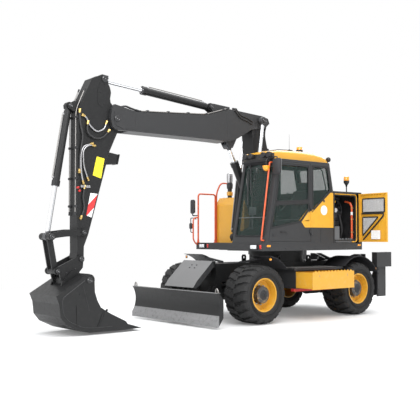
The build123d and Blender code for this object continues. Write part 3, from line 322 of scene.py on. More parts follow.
def hazard(name, pale, red):
    """Make the reflecting strip of slanting red and white bars."""
    tape = Finish(name, pale, 0.3, Coat_Weight=0.4)
    bars = 3.2
    slant = ((tape.part("Z") + tape.part("X")) * bars).fraction()
    mesh = tape.cells(scale=700.0)
    tape.set("Base Color", tape.mix(slant > 0.5, pale, red))
    tape.set("Roughness", (0.25 + mesh * 0.2).held())
    tape.bump(mesh, strength=0.3, distance=0.0003)
    return tape.material


CHARCOAL = (0.030, 0.0305, 0.032)
# Darker paint for the arm, bucket, lower boom and the rest, made darker than the charcoal partly as painted
# shade
DARK_AND_SHADED = (0.0075, 0.0078, 0.0083)
BLACK = (0.016, 0.016, 0.018)
AMBER = (0.74, 0.375, 0.032)
LAMP_AMBER = (0.95, 0.36, 0.015)
ORANGE = (0.72, 0.10, 0.025)
RED = (0.50, 0.025, 0.022)
DARK_DUST = (0.070, 0.068, 0.064)
AMBER_DUST = (0.62, 0.42, 0.18)
AXLE_X = (1500, -1100)
WHEEL_Y, WHEEL_Z = 957, 525
HUB_REACH = 162


def hub_mark(paint):
    """Mark the four planetary hubs, which are dark in the amber wheels."""
    front, rear = (paint.near((x, WHEEL_Z), HUB_REACH) for x in AXLE_X)
    return front.most(rear)


def corner_mark(paint):
    """Mark the amber panel at the cab's left rear, which runs on over the foot of the door."""
    box = paint.within((None, 1150, 1727), (None, None, 2402))
    under_windows = paint.below_line((589, 1858), (-255, 2404))
    behind_slant = 1 - paint.below_line((475, 1721), (589, 1855))
    return box * under_windows * behind_slant


def bar_mark(paint):
    """Mark the bar under the toolbox and under the right-hand step."""
    return paint.within((-600, None, 500), (700, None, 589))


def lit_edge_mark(paint):
    """Mark the lighter strip at the blade's cutting edge, which is painted light where the blade's low face
    is lit.
    """
    return paint.within((2596, None, None), (None, None, 236))


def roof_front_mark(paint):
    """Mark the roof's dark front, behind its lamps."""
    return paint.within((1180, None, None), (None, None, 3080))


def roof_beacon_mark(plastic):
    """Mark the lens of the beacon on the roof."""
    return plastic.within((100, 600, 3240), (300, 900, None))


def rear_beacon_mark(plastic):
    """Mark the lens of the beacon on its stalk at the rear."""
    return plastic.within((-1520, 570, 2722), (-1380, 710, None))


FINISHES = {
    # The dark paint is partly the parts' darker paint and partly painted shade, for the shade on the arm,
    # bucket and lower boom.
    "dark": painted("dark_paint", DARK_AND_SHADED, (0.030, 0.029, 0.028), 0.42),
    # The pale grey is a painted highlight, laid on the top faces of the blade and of its link cover.
    "pale": painted("painted_highlight_grey", (0.17, 0.17, 0.172), (0.20, 0.195, 0.185), 0.4),
    # The blade's face is painted near black as painted shade of its hollow face; the lighter strip at its
    # cutting edge is painted light.
    "blade": painted("shaded_blade_paint", (0.006, 0.0062, 0.0066), (0.030, 0.030, 0.029), 0.42,
                     patches=[(lit_edge_mark, (0.22, 0.22, 0.222))]),
    "roof": painted("roof_paint", AMBER, AMBER_DUST, 0.3, 0.4,
                    patches=[(roof_front_mark, (0.012, 0.012, 0.013))]),
    "charcoal": painted("charcoal_paint", CHARCOAL, DARK_DUST),
    "cab": painted("cab_paint", CHARCOAL, DARK_DUST, patches=[(corner_mark, AMBER)]),
    "toolbox": painted("toolbox_paint", CHARCOAL, DARK_DUST, patches=[(bar_mark, RED)]),
    "amber": painted("amber_paint", AMBER, AMBER_DUST, 0.32, 0.4),
    "wheel": painted("wheel_paint", AMBER, AMBER_DUST, 0.36, 0.3,
                     patches=[(hub_mark, (0.045, 0.045, 0.048))]),
    "orange": painted("rail_orange_paint", ORANGE, (0.50, 0.26, 0.14), 0.3, 0.5),
    "red": painted("red_paint", RED, (0.35, 0.18, 0.14)),
    "cast": cast("dark_casting", (0.022, 0.0225, 0.024)),
    "weight": cast("counterweight_casting", (0.036, 0.0365, 0.038), 0.5),
    "rubber": rubber("tyre_rubber", (0.009, 0.009, 0.0095), (0.035, 0.033, 0.030)),
    "yellow": moulded("yellow_sign", (0.88, 0.74, 0.03), 0.35),
    "zinc": moulded("zinc_mesh", (0.50, 0.50, 0.50), 0.4),
    "black": moulded("black_moulding", BLACK),
    "hose": moulded("hose_rubber", (0.020, 0.020, 0.021), 0.6),
    "seal": moulded("seal_rubber", (0.012, 0.012, 0.013), 0.7),
    "grey": moulded("grey_moulding", (0.11, 0.115, 0.12)),
    "white": moulded("white_plate", (0.78, 0.78, 0.77), 0.35),
    "cooler": moulded("cooler_finish", BLACK, 0.5),
    "lamps": moulded("lamp_cases", BLACK, 0.4,
                     patches=[(roof_beacon_mark, LAMP_AMBER), (rear_beacon_mark, LAMP_AMBER)]),
    "steel": bright("ground_steel", (0.42, 0.42, 0.43), 0.35),
    "worn": bright("worn_steel", (0.30, 0.29, 0.28), 0.45, 40.0),
    "brass": bright("brass_fittings", (0.62, 0.44, 0.16), 0.3),
    "mirror": bright("mirror_face", (0.85, 0.87, 0.88), 0.05),
    "glass": window_glass("tinted_glass", (0.014, 0.034, 0.028), 0.70),
    "clear_lens": lens("clear_lens", (0.82, 0.84, 0.86)),
    "amber_lens": lens("amber_lens", LAMP_AMBER),
    "red_lens": lens("red_lens", (0.62, 0.02, 0.015)),
    "cloth": woven("seat_cloth", (0.030, 0.031, 0.034), (0.10, 0.10, 0.105)),
    "hazard": hazard("hazard_tape", (0.80, 0.80, 0.80), (0.60, 0.03, 0.03)),
}

# The CAD nodes that each finish is for, by the start of their names; the rest are dark, a darker paint that
# is partly painted shade
NODE_FINISHES = {
    "rubber": "tyre_", "wheel": "wheel_", "amber": "tool_drawer engine_door tank_housing cab_roof",
    "toolbox": "toolbox_housing right_step", "glass": "cab_glass door_glass", "blade": "dozer_blade",
    "cab": "cab_", "orange": "right_handrail", "cloth": "seat", "black": "mirrors fenders",
    "lamps": "lamps", "cast": "axles knuckle_ engine_block", "cooler": "cooler_pack",
    "weight": "counterweight", "charcoal": "slewing_platform upper_boom engine_hood outrigger_leg",
    "dark": "",
}

# Rods and their eyes, as (x, z) and the reach of the dark paint
ROD_EYES = {
    "lift_cylinder_rod": ((610, 3830), 100), "adjust_cylinder_rod": ((1300, 3310), 95),
    "arm_cylinder_rod": ((4136, 4189), 100), "bucket_cylinder_rod": ((5119, 1558), 88),
    "blade_cylinder_rod": ((2420, 330), 62),
    "outrigger_left_rod": ((-1900, 600), 55), "outrigger_right_rod": ((-1900, 600), 55),
}


def finish_node(name, node):
    """Give a CAD node the finish that its name asks for."""
    if name in ROD_EYES:
        material = rod_steel(f"{name}_finish", *ROD_EYES[name])
    else:
        material = FINISHES[next(finish for finish, starts in NODE_FINISHES.items()
                                 if name.startswith(tuple(starts.split()) or ""))]
    node.data.materials.clear()
    node.data.materials.append(material)


class Form:
    """A mesh put together from simple solids, in millimetres from the slewing axis."""

    def __init__(self):
        self.mesh = bmesh.new()

    def skin(self, rings, closed=False):
        """Join rings of points, with as many in each, into a skin with flat ends."""
        made = [[self.mesh.verts.new(place(*point)) for point in ring] for ring in rings]
        pairs = list(zip(made, made[1:]))
        if closed:
            pairs.append((made[-1], made[0]))
        for first, second in pairs:
            for index, vert in enumerate(first):
                after = (index + 1) % len(first)
                self.mesh.faces.new((vert, first[after], second[after], second[index]))
        if not closed:
            self.mesh.faces.new(list(reversed(made[0])))
            self.mesh.faces.new(made[-1])

    def lathe(self, at, axis, profile, sides=20):
        """Turn a profile of (distance along the axis, radius) pairs about an axis from a place."""
        along = Vector(axis).normalized()
        across = along.orthogonal().normalized()
        over = along.cross(across)
        spokes = [across * math.cos(angle) + over * math.sin(angle) for angle in turns(sides)]
        self.skin([[Vector(at) + along * distance + spoke * radius for spoke in spokes]
                   for distance, radius in profile])

    def rod(self, start, end, radius, sides=14):
        """Add a round bar between two places."""
        reach = Vector(end) - Vector(start)
        self.lathe(start, reach, ((0, radius), (reach.length, radius)), sides)

    def bolt(self, at, axis, size):
        """Add a bolt's washer and six-sided head, standing on a place."""
        self.lathe(at, axis, ((-1, size * 1.15), (size * 0.2, size * 1.15)), 14)
        head = ((size * 0.2, size * 0.8), (size * 0.75, size * 0.8), (size * 0.85, size * 0.68))
        self.lathe(at, axis, head, 6)

    def box(self, low, high, bevel):
        """Add a box between two corners, with its edges cut off by the bevel."""
        (x0, y0, z0), (x1, y1, z1) = low, high
        rings = []
        for x, cut in ((x0, bevel), (x0 + bevel, 0), (x1 - bevel, 0), (x1, bevel)):
            edge = cut + bevel
            rings.append([(x, y0 + edge, z0 + cut), (x, y1 - edge, z0 + cut),
                          (x, y1 - cut, z0 + edge), (x, y1 - cut, z1 - edge),
                          (x, y1 - edge, z1 - cut), (x, y0 + edge, z1 - cut),
                          (x, y0 + cut, z1 - edge), (x, y0 + cut, z0 + edge)])
        self.skin(rings)

    def plate(self, outline, low_y, high_y):
        """Add a flat plate with an (x, z) outline, between two places across the machine."""
        self.skin([[(x, y, z) for x, z in outline] for y in (low_y, high_y)])

    def plates(self, outline, low_y, high_y):
        """Add a plate at the left and its twin at the right."""
        for sign in SIDES:
            self.plate(outline, sign * low_y, sign * high_y)

    def tube(self, points, radius, bend=60.0, sides=10):
        """Add a pipe along points, with its corners bent to curves."""
        path = smooth_path([Vector(point) for point in points], bend)
        rings = []
        across = (path[1] - path[0]).orthogonal().normalized()
        for index, point in enumerate(path):
            before = path[max(index - 1, 0)]
            after = path[min(index + 1, len(path) - 1)]
            along = (after - before).normalized()
            across = (across - along * across.dot(along)).normalized()
            over = along.cross(across)
            rings.append([point + (across * math.cos(angle) + over * math.sin(angle)) * radius
                          for angle in turns(sides)])
        self.skin(rings)

    def made(self, name, body, finish, smooth=40):
        """Turn the form into a piece that rides on a body; edges sharper than smooth degrees stay sharp."""
        bmesh.ops.recalc_face_normals(self.mesh, faces=self.mesh.faces)
        data = bpy.data.meshes.new(name)
        self.mesh.to_mesh(data)
        self.mesh.free()
        piece = bpy.data.objects.new(name, data)
        bpy.context.scene.collection.objects.link(piece)
        if smooth:
            data.shade_smooth()
            data.set_sharp_from_angle(angle=math.radians(smooth))
        data.materials.append(FINISHES[finish])
        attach(piece, body)
        return piece


SIDES = (1, -1)
BEND_STEPS = 6


def turns(count):
    """Give equally spaced angles round a full turn."""
    return [math.tau * index / count for index in range(count)]


def smooth_path(points, bend):
    """Cut each corner of a path with a curve that starts the bend's length before it."""
    path = [points[0]]
    for before, corner, after in zip(points, points[1:], points[2:]):
        first, last = before - corner, after - corner
        reach = min(bend, first.length * 0.45, last.length * 0.45)
        start, end = corner + first.normalized() * reach, corner + last.normalized() * reach
        for step in range(BEND_STEPS + 1):
            share = step / BEND_STEPS
            path.append(start * (1 - share) ** 2 + corner * 2 * share * (1 - share) + end * share ** 2)
    path.append(points[-1])
    return path


def spaced(first, last, count):
    """Give places at equal steps from the first to the last."""
    return [Vector(first).lerp(Vector(last), index / (count - 1)) for index in range(count)]


def round_place(centre, reach, angle, y):
    """Give the place at a reach and angle round an (x, z) centre, at a place across the machine."""
    return (centre[0] + reach * math.cos(angle), y, centre[1] + reach * math.sin(angle))


def add_piece(name, body, finish, *solids, smooth=40):
    """Make a piece of solids, each given as one of the form's methods and its values."""
    form = Form()
    for solid, *values in solids:
        getattr(form, solid)(*values)
    return form.made(name, body, finish, smooth)


# The tyre's section as (across, radius), and its lugs' stations, from the tread's middle outwards,
# as (across, low radius, high radius, lean and half width in degrees)
RING_STEPS = 72
TYRE_SECTION = [(-255, 300), (-288, 350), (-295, 435), (-268, 478), (-215, 491), (0, 496), (215, 491),
                (268, 478), (295, 435), (288, 350), (255, 300)]
HUB_BOLTS, WHEEL_NUTS, LUGS = 12, 10, 20
LUG_FOOT = 1.25
LUG_STATIONS = [(-6, 480, 524, 0.0, 4.6), (70, 480, 524.5, 0.6, 5.0), (78, 480, 524.5, 3.0, 5.4),
                (170, 480, 523, 4.4, 5.6), (178, 480, 521, 6.4, 5.8), (250, 462, 510, 7.6, 5.8),
                (292, 425, 468, 8.0, 5.2)]
# The side wall's raised rings as (radius, rise), and the wall's half width and the radius where it leans in
WALL_RINGS = ((352, 5), (380, 4), (452, 6))
WALL_HALF, WALL_LEANS = 295, 437


def add_wheel(name, axle_x, sign):
    """Dress a wheel: hub cover with its bolts, wheel nuts, valve, and a lugged tyre."""
    body, centre = f"wheel_{name}", (axle_x, WHEEL_Z)
    out, middle_y = (0, sign, 0), sign * WHEEL_Y
    hub = Form()
    hub.lathe((axle_x, sign * (WHEEL_Y + 215), WHEEL_Z), out,
              ((-24, 128), (-4, 128), (4, 118), (12, 96), (13, 60), (16, 54), (17, 22), (12, 20)), 36)
    for angle in turns(HUB_BOLTS):
        hub.bolt(round_place(centre, 112, angle, sign * (WHEEL_Y + 218)), out, 8)
    hub.made(f"hub_cover_{name}", body, "cast")
    nuts = Form()
    for angle in turns(WHEEL_NUTS):
        at = round_place(centre, 176, angle + math.radians(12), sign * (WHEEL_Y + 122))
        nuts.lathe(at, out, ((-6, 16), (0, 16), (2, 13), (20, 13), (23, 9)), 6)
        nuts.lathe(at, out, ((18, 6), (32, 6)), 8)
    nuts.rod((axle_x + 250, sign * (WHEEL_Y + 110), WHEEL_Z),
             (axle_x + 262, sign * (WHEEL_Y + 165), WHEEL_Z), 6, 8)
    nuts.made(f"wheel_nuts_{name}", body, "steel")
    carcass = Form()
    carcass.skin([[round_place(centre, reach, angle, middle_y + across) for across, reach in TYRE_SECTION]
                  for angle in turns(RING_STEPS)], closed=True)
    tyre = carcass.made(f"tyre_carcass_{name}", body, "rubber", 30)
    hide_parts(f"tyre_{name}")
    lugs = Form()
    for side in SIDES:
        for index in range(LUGS):
            middle = math.tau * (index + (0.5 if side > 0 else 0)) / LUGS
            rings = []
            for across, low, high, lean, half in LUG_STATIONS:
                corners = ((low, -half * LUG_FOOT), (high, -half), (high, half), (low, half * LUG_FOOT))
                rings.append([round_place(centre, reach, middle + math.radians(turn + lean),
                                          middle_y + side * across) for reach, turn in corners])
            lugs.skin(rings)
    lugs.made(f"tyre_lugs_{name}", body, "rubber", 25)
    ribs = Form()
    for side in (sign, -sign):
        wall = middle_y + side * WALL_HALF
        for radius, rise in WALL_RINGS:
            lean = max(radius - WALL_LEANS, 0) * 0.95
            ribs.skin([[round_place(centre, radius + step, angle, wall + side * (lift - lean))
                        for step, lift in ((-6, -8), (-3, rise), (3, rise), (6, -8))]
                       for angle in turns(RING_STEPS)], closed=True)
    ribs.made(f"tyre_ribs_{name}", body, "rubber")


# Amber markers on the fenders' ends, as (x, z)
MARKER_PLACES, MARKER_Y = ((1352, 1150), (-1662, 905)), 1212
CHASSIS_SIDE, RING_BOLTS = 331, 36
STEP_ROWS, STEP_COLUMNS = 26, 9


def add_undercarriage():
    """Dress the undercarriage: bolts, step treads, markers, drawer slides and latches, and pipes."""
    bolts = Form()
    for index in range(RING_BOLTS):
        angle = math.tau * (index + 0.5) / RING_BOLTS
        bolts.bolt((530 * math.cos(angle), 530 * math.sin(angle), 1062), UP, 13)
    for sign in SIDES:
        for at in spaced((-520, sign * CHASSIS_SIDE, 990), (1340, sign * CHASSIS_SIDE, 990), 12):
            bolts.bolt(at, (0, sign, 0), 11)
        for at in spaced((-1550, sign * CHASSIS_SIDE, 720), (-1550, sign * CHASSIS_SIDE, 980), 4):
            bolts.bolt(at, (0, sign, 0), 13)
    bolts.made("chassis_bolts", LOWER, "charcoal")
    treads = Form()
    markers = Form()
    feet = Form()
    pipes = Form()
    clips = Form()
    for sign in SIDES:
        for row in range(STEP_ROWS):
            for column in range(STEP_COLUMNS):
                x, y = -640 + row * 49, sign * (600 + column * 62)
                slant = 13 if (row + column) % 2 else -13
                treads.skin([[(x - 14, y - slant - 3, z), (x + 14, y + slant - 3, z),
                              (x + 14, y + slant + 3, z), (x - 14, y - slant + 3, z)] for z in (969, 973)])
        for x, z in MARKER_PLACES:
            markers.lathe((x, sign * MARKER_Y, z), (math.copysign(0.5, x), sign * 0.9, 0),
                          ((-16, 22), (2, 22), (9, 17), (12, 8)), 20)
            feet.box((x - 26, sign * MARKER_Y - 26, z - 30), (x + 6, sign * MARKER_Y + 8, z + 26), 4)
        for y in (sign * 352, sign * 378):
            pipes.tube([(900, y, 760), (-900, y, 760), (-1300, y, 960), (-1660, y, 1030),
                        (-1784, y + sign * 78, 1120)], 9, 90)
        for at in spaced((-820, 0, 760), (820, 0, 760), 6):
            clips.box((at.x - 15, sign * 366 - 36, 744), (at.x + 15, sign * 366 + 28, 776), 4)
    treads.made("step_treads", LOWER, "worn", 0)
    markers.made("fender_markers", LOWER, "amber_lens")
    feet.made("marker_feet", LOWER, "black")
    pipes.made("chassis_pipes", LOWER, "hose")
    clips.made("pipe_clips", LOWER, "black")
    slides = Form()
    for x in (-528, 592):
        slides.box((x - 4, 1120, 652), (x + 4, 1500, 676), 2)
    slides.made("drawer_slides", "tool_drawer", "steel")
    latches = Form()
    for x in (-360, 430):
        latches.lathe((x, 1550, 838), LEFT, ((-12, 26), (1, 26), (3, 22), (-4, 19), (-4, 8), (4, 7)), 24)
        latches.box((x - 5, 1545, 815), (x + 5, 1556, 861), 2)
    latches.made("drawer_latches", "tool_drawer", "worn")


COVER_OUTLINE = [(2034, 1117), (2399, 775), (2491, 656), (2489, 653), (2396, 772), (2032, 1115)]
FLANK_OUTLINE = [(2034, 1114), (2398, 772), (2488, 653), (2430, 640), (2330, 700), (2010, 1010)]
COVER_BOLTS = ((2122, 1036), (2174, 987))
COVER_FACES = (0.684, 0, 0.73)
EYE_PATH = ((-34, 600), (-30, 655), (0, 690), (30, 655), (34, 600))


def add_blade():
    """Dress the blade: its lifting eyes, a pale lip along its top and the linkage cover's pale top, both a
    painted highlight on top faces, and the cover's flanks and four bolts.
    """
    eyes = Form()
    for sign in SIDES:
        eyes.tube([(2600, sign * 1195 + y, z) for y, z in EYE_PATH], 12, 30)
    eyes.made("blade_lifting_eyes", "dozer_blade", "worn")
    # The blade's top lip and the cover's top are pale grey as a painted highlight, where light falls on
    # these top faces.
    add_piece("blade_top_highlight", "dozer_blade", "pale", ("box", (2566, -1249, 606), (2644, 1249, 614), 2))
    add_piece("link_cover_lit_top", "blade_upper_links", "pale",
              ("plate", COVER_OUTLINE, -421, 421), smooth=20)
    add_piece("link_cover_flanks", "blade_upper_links", "charcoal",
              ("plates", FLANK_OUTLINE, 412, 420), smooth=20)
    heads = Form()
    for x, z in COVER_BOLTS:
        for y in (-70, 70):
            heads.bolt((x, y, z), COVER_FACES, 12)
    heads.made("link_cover_bolts", "blade_upper_links", "charcoal")


# Pins that show: body, (x, z) of the pin, how far its end lies from the middle plane, radius
PINS = [
    (UPPER, (300, 1750), 209, 52), (UPPER, (920, 1550), 301, 48),
    ("lift_cylinder_rod", (610, 3830), 307, 46),
    ("upper_boom", (3944, 3535), 207, 52), ("upper_boom", (1776, 3997), 96, 40),
    ("lower_boom", (650, 2060), 96, 40), ("arm", (4136, 4189), 131, 62), ("arm", (4755, 3680), 87, 36),
    ("arm", (4542, 1626), 171, 38), ("bucket_rocker", (5119, 1558), 169, 44),
    ("bucket", (5013, 1012), 176, 36), ("bucket", (4593, 1198), 181, 42), ("bucket", (4607, 870), 459, 48),
    (LOWER, (1945, 1050), 296, 30), (LOWER, (1945, 590), 296, 30),
]


def add_pins():
    """Cap each pin: a turned head, with a grease nipple and two bolts."""
    for index, (body, (x, z), reach, radius) in enumerate(PINS):
        heads = Form()
        keepers = Form()
        profile = ((-6, radius), (3, radius), (6, radius - 4), (6, radius * 0.55), (3, radius * 0.5))
        for sign in SIDES:
            out = (0, sign, 0)
            heads.lathe((x, sign * reach, z), out, profile, 28)
            keepers.lathe((x, sign * (reach + 3), z), out, ((0, 8), (7, 7), (11, 4)), 10)
            for turn in (0.4, 0.4 + math.pi):
                at = round_place((x, z), radius * 0.72, turn, sign * (reach + 5))
                keepers.bolt(at, out, radius * 0.14)
        heads.made(f"pin_heads_{index:02d}", body, "charcoal")
        keepers.made(f"pin_bolts_{index:02d}", body, "steel")


# Pipes and hoses that are clamped down: name, body, finish, radius, (x, z) places,
# and the places across the machine of all of them
RUNS = [
    ("boom_pipes", "upper_boom", "worn", 10,
     [(1432, 3992), (1974, 3824), (3500, 3715)], (-168, -142, -116, 116, 142, 168)),
    ("boom_hose_ends", "upper_boom", "hose", 13,
     [(3490, 3716), (3640, 3745), (3760, 3775), (3850, 3740)], (-168, -142, 142, 168)),
    ("lower_boom_hoses", "lower_boom", "hose", 17,
     [(262, 1960), (150, 2120), (166, 2400), (190, 2900), (352, 3290), (420, 3560), (392, 3740)],
     (-100, -60, 60, 100)),
    ("arm_front_pipes", "arm", "worn", 9,
     [(4500, 3998), (4672, 3620), (4672, 3000), (4672, 1900)], (-98, 98)),
]

# Pipes bent close to a side: name, body, finish, radius, and their places
BENT = [
    ("arm_pipe_upper", "arm", "steel", 14,
     [(4575, 140, 3540), (4500, 144, 3505), (4440, 144, 3380), (4304, 144, 3275), (4160, 144, 3340),
      (4110, 136, 3470)]),
    ("arm_pipe_a", "arm", "steel", 13,
     [(4337, 134, 3052), (4470, 146, 3052), (4560, 146, 2960), (4552, 146, 2714), (4462, 146, 2480)]),
    ("arm_pipe_b", "arm", "steel", 13,
     [(4380, 134, 3085), (4560, 150, 3030), (4606, 150, 2880), (4596, 150, 2600), (4552, 150, 2420)]),
    ("arm_hose_a", "arm", "hose", 15,
     [(4620, 134, 3620), (4618, 146, 3400), (4560, 146, 3200), (4612, 146, 2900), (4620, 134, 2600)]),
    ("arm_hose_b", "arm", "hose", 15,
     [(4470, 138, 3440), (4500, 158, 3250), (4330, 158, 3160), (4180, 150, 3200), (4060, 134, 3330)]),
    ("arm_hose_c", "arm", "hose", 15,
     [(4520, 136, 2380), (4560, 146, 2200), (4520, 146, 2020), (4590, 134, 1850)]),
    ("arm_hose_right", "arm", "hose", 15,
     [(4250, -136, 3700), (4420, -142, 3300), (4470, -142, 2700), (4560, -136, 2200)]),
    ("boom_port_pipe_a", "upper_boom", "hose", 12,
     [(1265, 165, 3998), (1265, 205, 3990), (1130, 205, 3880), (1000, 205, 3860), (840, 196, 3800)]),
    ("boom_port_pipe_b", "upper_boom", "hose", 12,
     [(1305, 165, 3998), (1305, 212, 3985), (1150, 212, 3830), (1000, 208, 3800), (860, 196, 3750)]),
    ("boom_port_pipe_c", "upper_boom", "hose", 12,
     [(1345, -165, 3998), (1345, -205, 3990), (1130, -205, 3880), (1000, -205, 3860), (840, -196, 3800)]),
]
BOOM_CLAMPS = ((1560, 3952), (1974, 3824), (2400, 3794), (2850, 3762), (3300, 3730))
ARM_CLAMPS = (3500, 3000, 2500, 2050)
LOWER_BOOM_CLAMPS = ((178, 2260), (186, 2640), (228, 3010), (352, 3290))
COUPLINGS, PORTS = ((4618, 2300), (4646, 2352)), (4440, 4490, 4540, 4590)


def add_nuts(nuts, path, hexagon, sleeve):
    """Put a six-sided nut and a sleeve at each end of a path."""
    for end, inner in ((path[0], path[1]), (path[-1], path[-2])):
        along = Vector(inner) - Vector(end)
        nuts.lathe(end, along, hexagon, 6)
        nuts.lathe(end, along, sleeve, 12)


def add_pipes():
    """Lay the clamped pipes and hoses, with their nuts and clamps."""
    for name, body, finish, radius, places, shifts in RUNS:
        run = Form()
        nuts = Form()
        for shift in shifts:
            path = [(x, shift, z) for x, z in places]
            run.tube(path, radius, 120)
            add_nuts(nuts, path, ((0, radius * 1.5), (26, radius * 1.5), (30, radius * 1.2)),
                     ((28, radius * 1.25), (58, radius * 1.25)))
        run.made(name, body, finish)
        nuts.made(f"{name}_nuts", body, "black")
    ends = {}
    for name, body, finish, radius, path in BENT:
        add_piece(name, body, finish, ("tube", path, radius, 90, 12))
        nuts = ends.setdefault(body, Form())
        add_nuts(nuts, path, ((-14, radius * 1.7), (16, radius * 1.7), (20, radius * 1.3)),
                 ((16, radius * 1.35), (52, radius * 1.35)))
    for body, nuts in ends.items():
        nuts.made(f"{body}_hose_nuts", body, "brass" if body == "arm" else "black")
    clamps = Form()
    for x, z in BOOM_CLAMPS:
        for y in (142, -142):
            clamps.box((x - 22, y - 44, z - 22), (x + 22, y + 44, z + 18), 4)
            for shift in (-13, 13):
                clamps.bolt((x, y + shift, z + 18), UP, 7)
    clamps.made("boom_pipe_clamps", "upper_boom", "black")
    clamps = Form()
    for z in ARM_CLAMPS:
        for y in (98, -98):
            clamps.box((4640, y - 22, z - 18), (4688, y + 22, z + 18), 4)
    clamps.made("arm_pipe_clamps", "arm", "black")
    clamps = Form()
    for x, z in LOWER_BOOM_CLAMPS:
        clamps.box((x - 40, -128, z - 22), (x + 30, 128, z + 22), 6)
    clamps.made("lower_boom_clamps", "lower_boom", "black")
    caps = Form()
    for x, z in COUPLINGS:
        caps.lathe((x, 124, z), LEFT, ((-10, 19), (30, 19), (34, 14)), 16)
    caps.made("coupling_caps", "arm", "red")
    block = Form()
    block.box((4420, 119, 2352), (4600, 152, 2392), 5)
    for z in (2362, 2382):
        for x in PORTS:
            block.lathe((x, 150, z), LEFT, ((-2, 10), (12, 10), (14, 7)), 6)
    block.made("arm_port_block", "arm", "steel")


# Weld seams: lines of (x, z) places on the boom's sides and on the arm's
BOOM_SEAMS = (((3560, 3690), (3560, 3352)), ((1500, 3952), (1450, 3362)))
BOOM_RIM = ((1407, 3368), (1913, 3372), (3590, 3361), (3955, 3357))
ARM_SEAMS = (((4057, 2990), (4452, 1610)), ((4634, 3600), (4638, 1760)))
TIP_OUTLINE = [(3600, 3400), (3600, 3660), (3760, 3690), (3980, 3660), (4010, 3535), (3960, 3420),
               (3800, 3372)]
SECTOR_CENTRE, SECTOR_REACH = (4150, 3900), (135, 260)
SECTOR_TURNS = spaced((math.radians(-75), 0), (math.radians(75), 0), 15)
SECTOR_FOOT = [(4270, 3760), (4190, 3700), (4050, 3790)]
SECTOR_BOLTS = ((4070, 3950), (4230, 3950), (4150, 4090), (4150, 3770))
TAPE_OUTLINE = [(4404, 2272), (4262, 2261), (4374, 1870), (4482, 1903)]


def add_boom_trim():
    """Add the boom's weld seams and tip plates, and the arm's sector plates, stop, signs and seams."""
    seams = Form()
    webs = Form()
    sector = Form()
    x, z = SECTOR_CENTRE
    wide, high = SECTOR_REACH
    outline = [(x + wide * math.sin(at.x), z + high * math.cos(at.x)) for at in SECTOR_TURNS]
    outline += SECTOR_FOOT
    sector.plates(outline, 119, 124)
    for sign in SIDES:
        for (x0, z0), (x1, z1) in BOOM_SEAMS:
            seams.rod((x0, sign * 190, z0), (x1, sign * 190, z1), 5, 8)
        for (x0, z0), (x1, z1) in zip(BOOM_RIM, BOOM_RIM[1:]):
            seams.rod((x0, sign * 189, z0), (x1, sign * 189, z1), 6, 8)
        for (x0, z0), (x1, z1) in ARM_SEAMS:
            webs.rod((x0, sign * 120, z0), (x1, sign * 120, z1), 5, 8)
        for x, z in SECTOR_BOLTS:
            sector.bolt((x, sign * 124, z), (0, sign, 0), 9)
    seams.made("boom_seams", "upper_boom", "charcoal")
    webs.made("arm_seams", "arm", "dark")
    sector.made("arm_sector_plates", "arm", "dark", 25)
    add_piece("boom_tip_plates", "upper_boom", "charcoal", ("plates", TIP_OUTLINE, 189, 197), smooth=20)
    add_piece("arm_stop", "arm", "dark",
              ("plate", [(4070, 2980), (3825, 2945), (3862, 2785), (4110, 2762)], -70, 70),
              ("plate", [(3832, 2952), (3812, 2948), (3850, 2778), (3868, 2782)], -84, 84), smooth=25)
    add_piece("blank_sign_arm", "arm", "yellow",
              ("plate", [(4289, 2879), (4140, 2852), (4205, 2521), (4362, 2565)], 119.5, 122.5), smooth=20)
    add_piece("hazard_tape", "arm", "hazard", ("plates", TAPE_OUTLINE, 119.5, 122), smooth=20)


# The bucket's wear strips and seams, as (x, z) places on its sides
STRIP_OUTLINES = (
    ((4620, 640), (4790, 664), (4788, 646), (4620, 622)),
    ((4260, 390), (4300, 400), (4440, 130), (4418, 128)),
    ((4330, 330), (4366, 336), (4460, 130), (4436, 128)),
    ((4800, 476), (4840, 478), (4830, 150), (4812, 146)),
)
SIDE_SEAM = ((4690, 868), (5090, 606), (5070, 360), (4977, 248), (4760, 148), (4600, 118), (4180, 112))


def add_bucket_trim():
    """Add the bucket's wear strips and weld seams, and the hitch's latch."""
    add_piece("bucket_wear_strips", "bucket", "dark",
              *(("plates", outline, 449, 457) for outline in STRIP_OUTLINES), smooth=20)
    seams = Form()
    latch = Form()
    latch.box((4760, -90, 1000), (4900, 90, 1035), 8)
    for sign in SIDES:
        seams.tube([(x, sign * 451, z) for x, z in SIDE_SEAM], 6, 60, 8)
        seams.tube([(4727, sign * 451, 787), (4608, sign * 451, 389)], 5, 10, 8)
        latch.rod((4770, sign * 60, 1050), (4905, sign * 60, 985), 24, 16)
        latch.bolt((4700, sign * 161, 1040), (0, sign, 0), 14)
        latch.bolt((4860, sign * 161, 985), (0, sign, 0), 14)
    for x, z in ((5118, 420), (5055, 250)):
        seams.rod((x, -446, z), (x, 446, z), 6, 8)
    seams.made("bucket_seams", "bucket", "charcoal")
    latch.made("hitch_latch", "bucket", "charcoal")


# Cylinders: body of the case, base, eye, middles across the machine, length and radius of the case
CYLINDERS = [
    ("lift_cylinder_case", (920, 1550), (610, 3830), (-255, 255), 1250, 60),
    ("adjust_cylinder_case", (650, 2060), (1300, 3310), (0,), 1060, 75),
    ("arm_cylinder_case", (1776, 3997), (4136, 4189), (0,), 1540, 68),
    ("bucket_cylinder_case", (4755, 3680), (5119, 1558), (0,), 1330, 58),
]


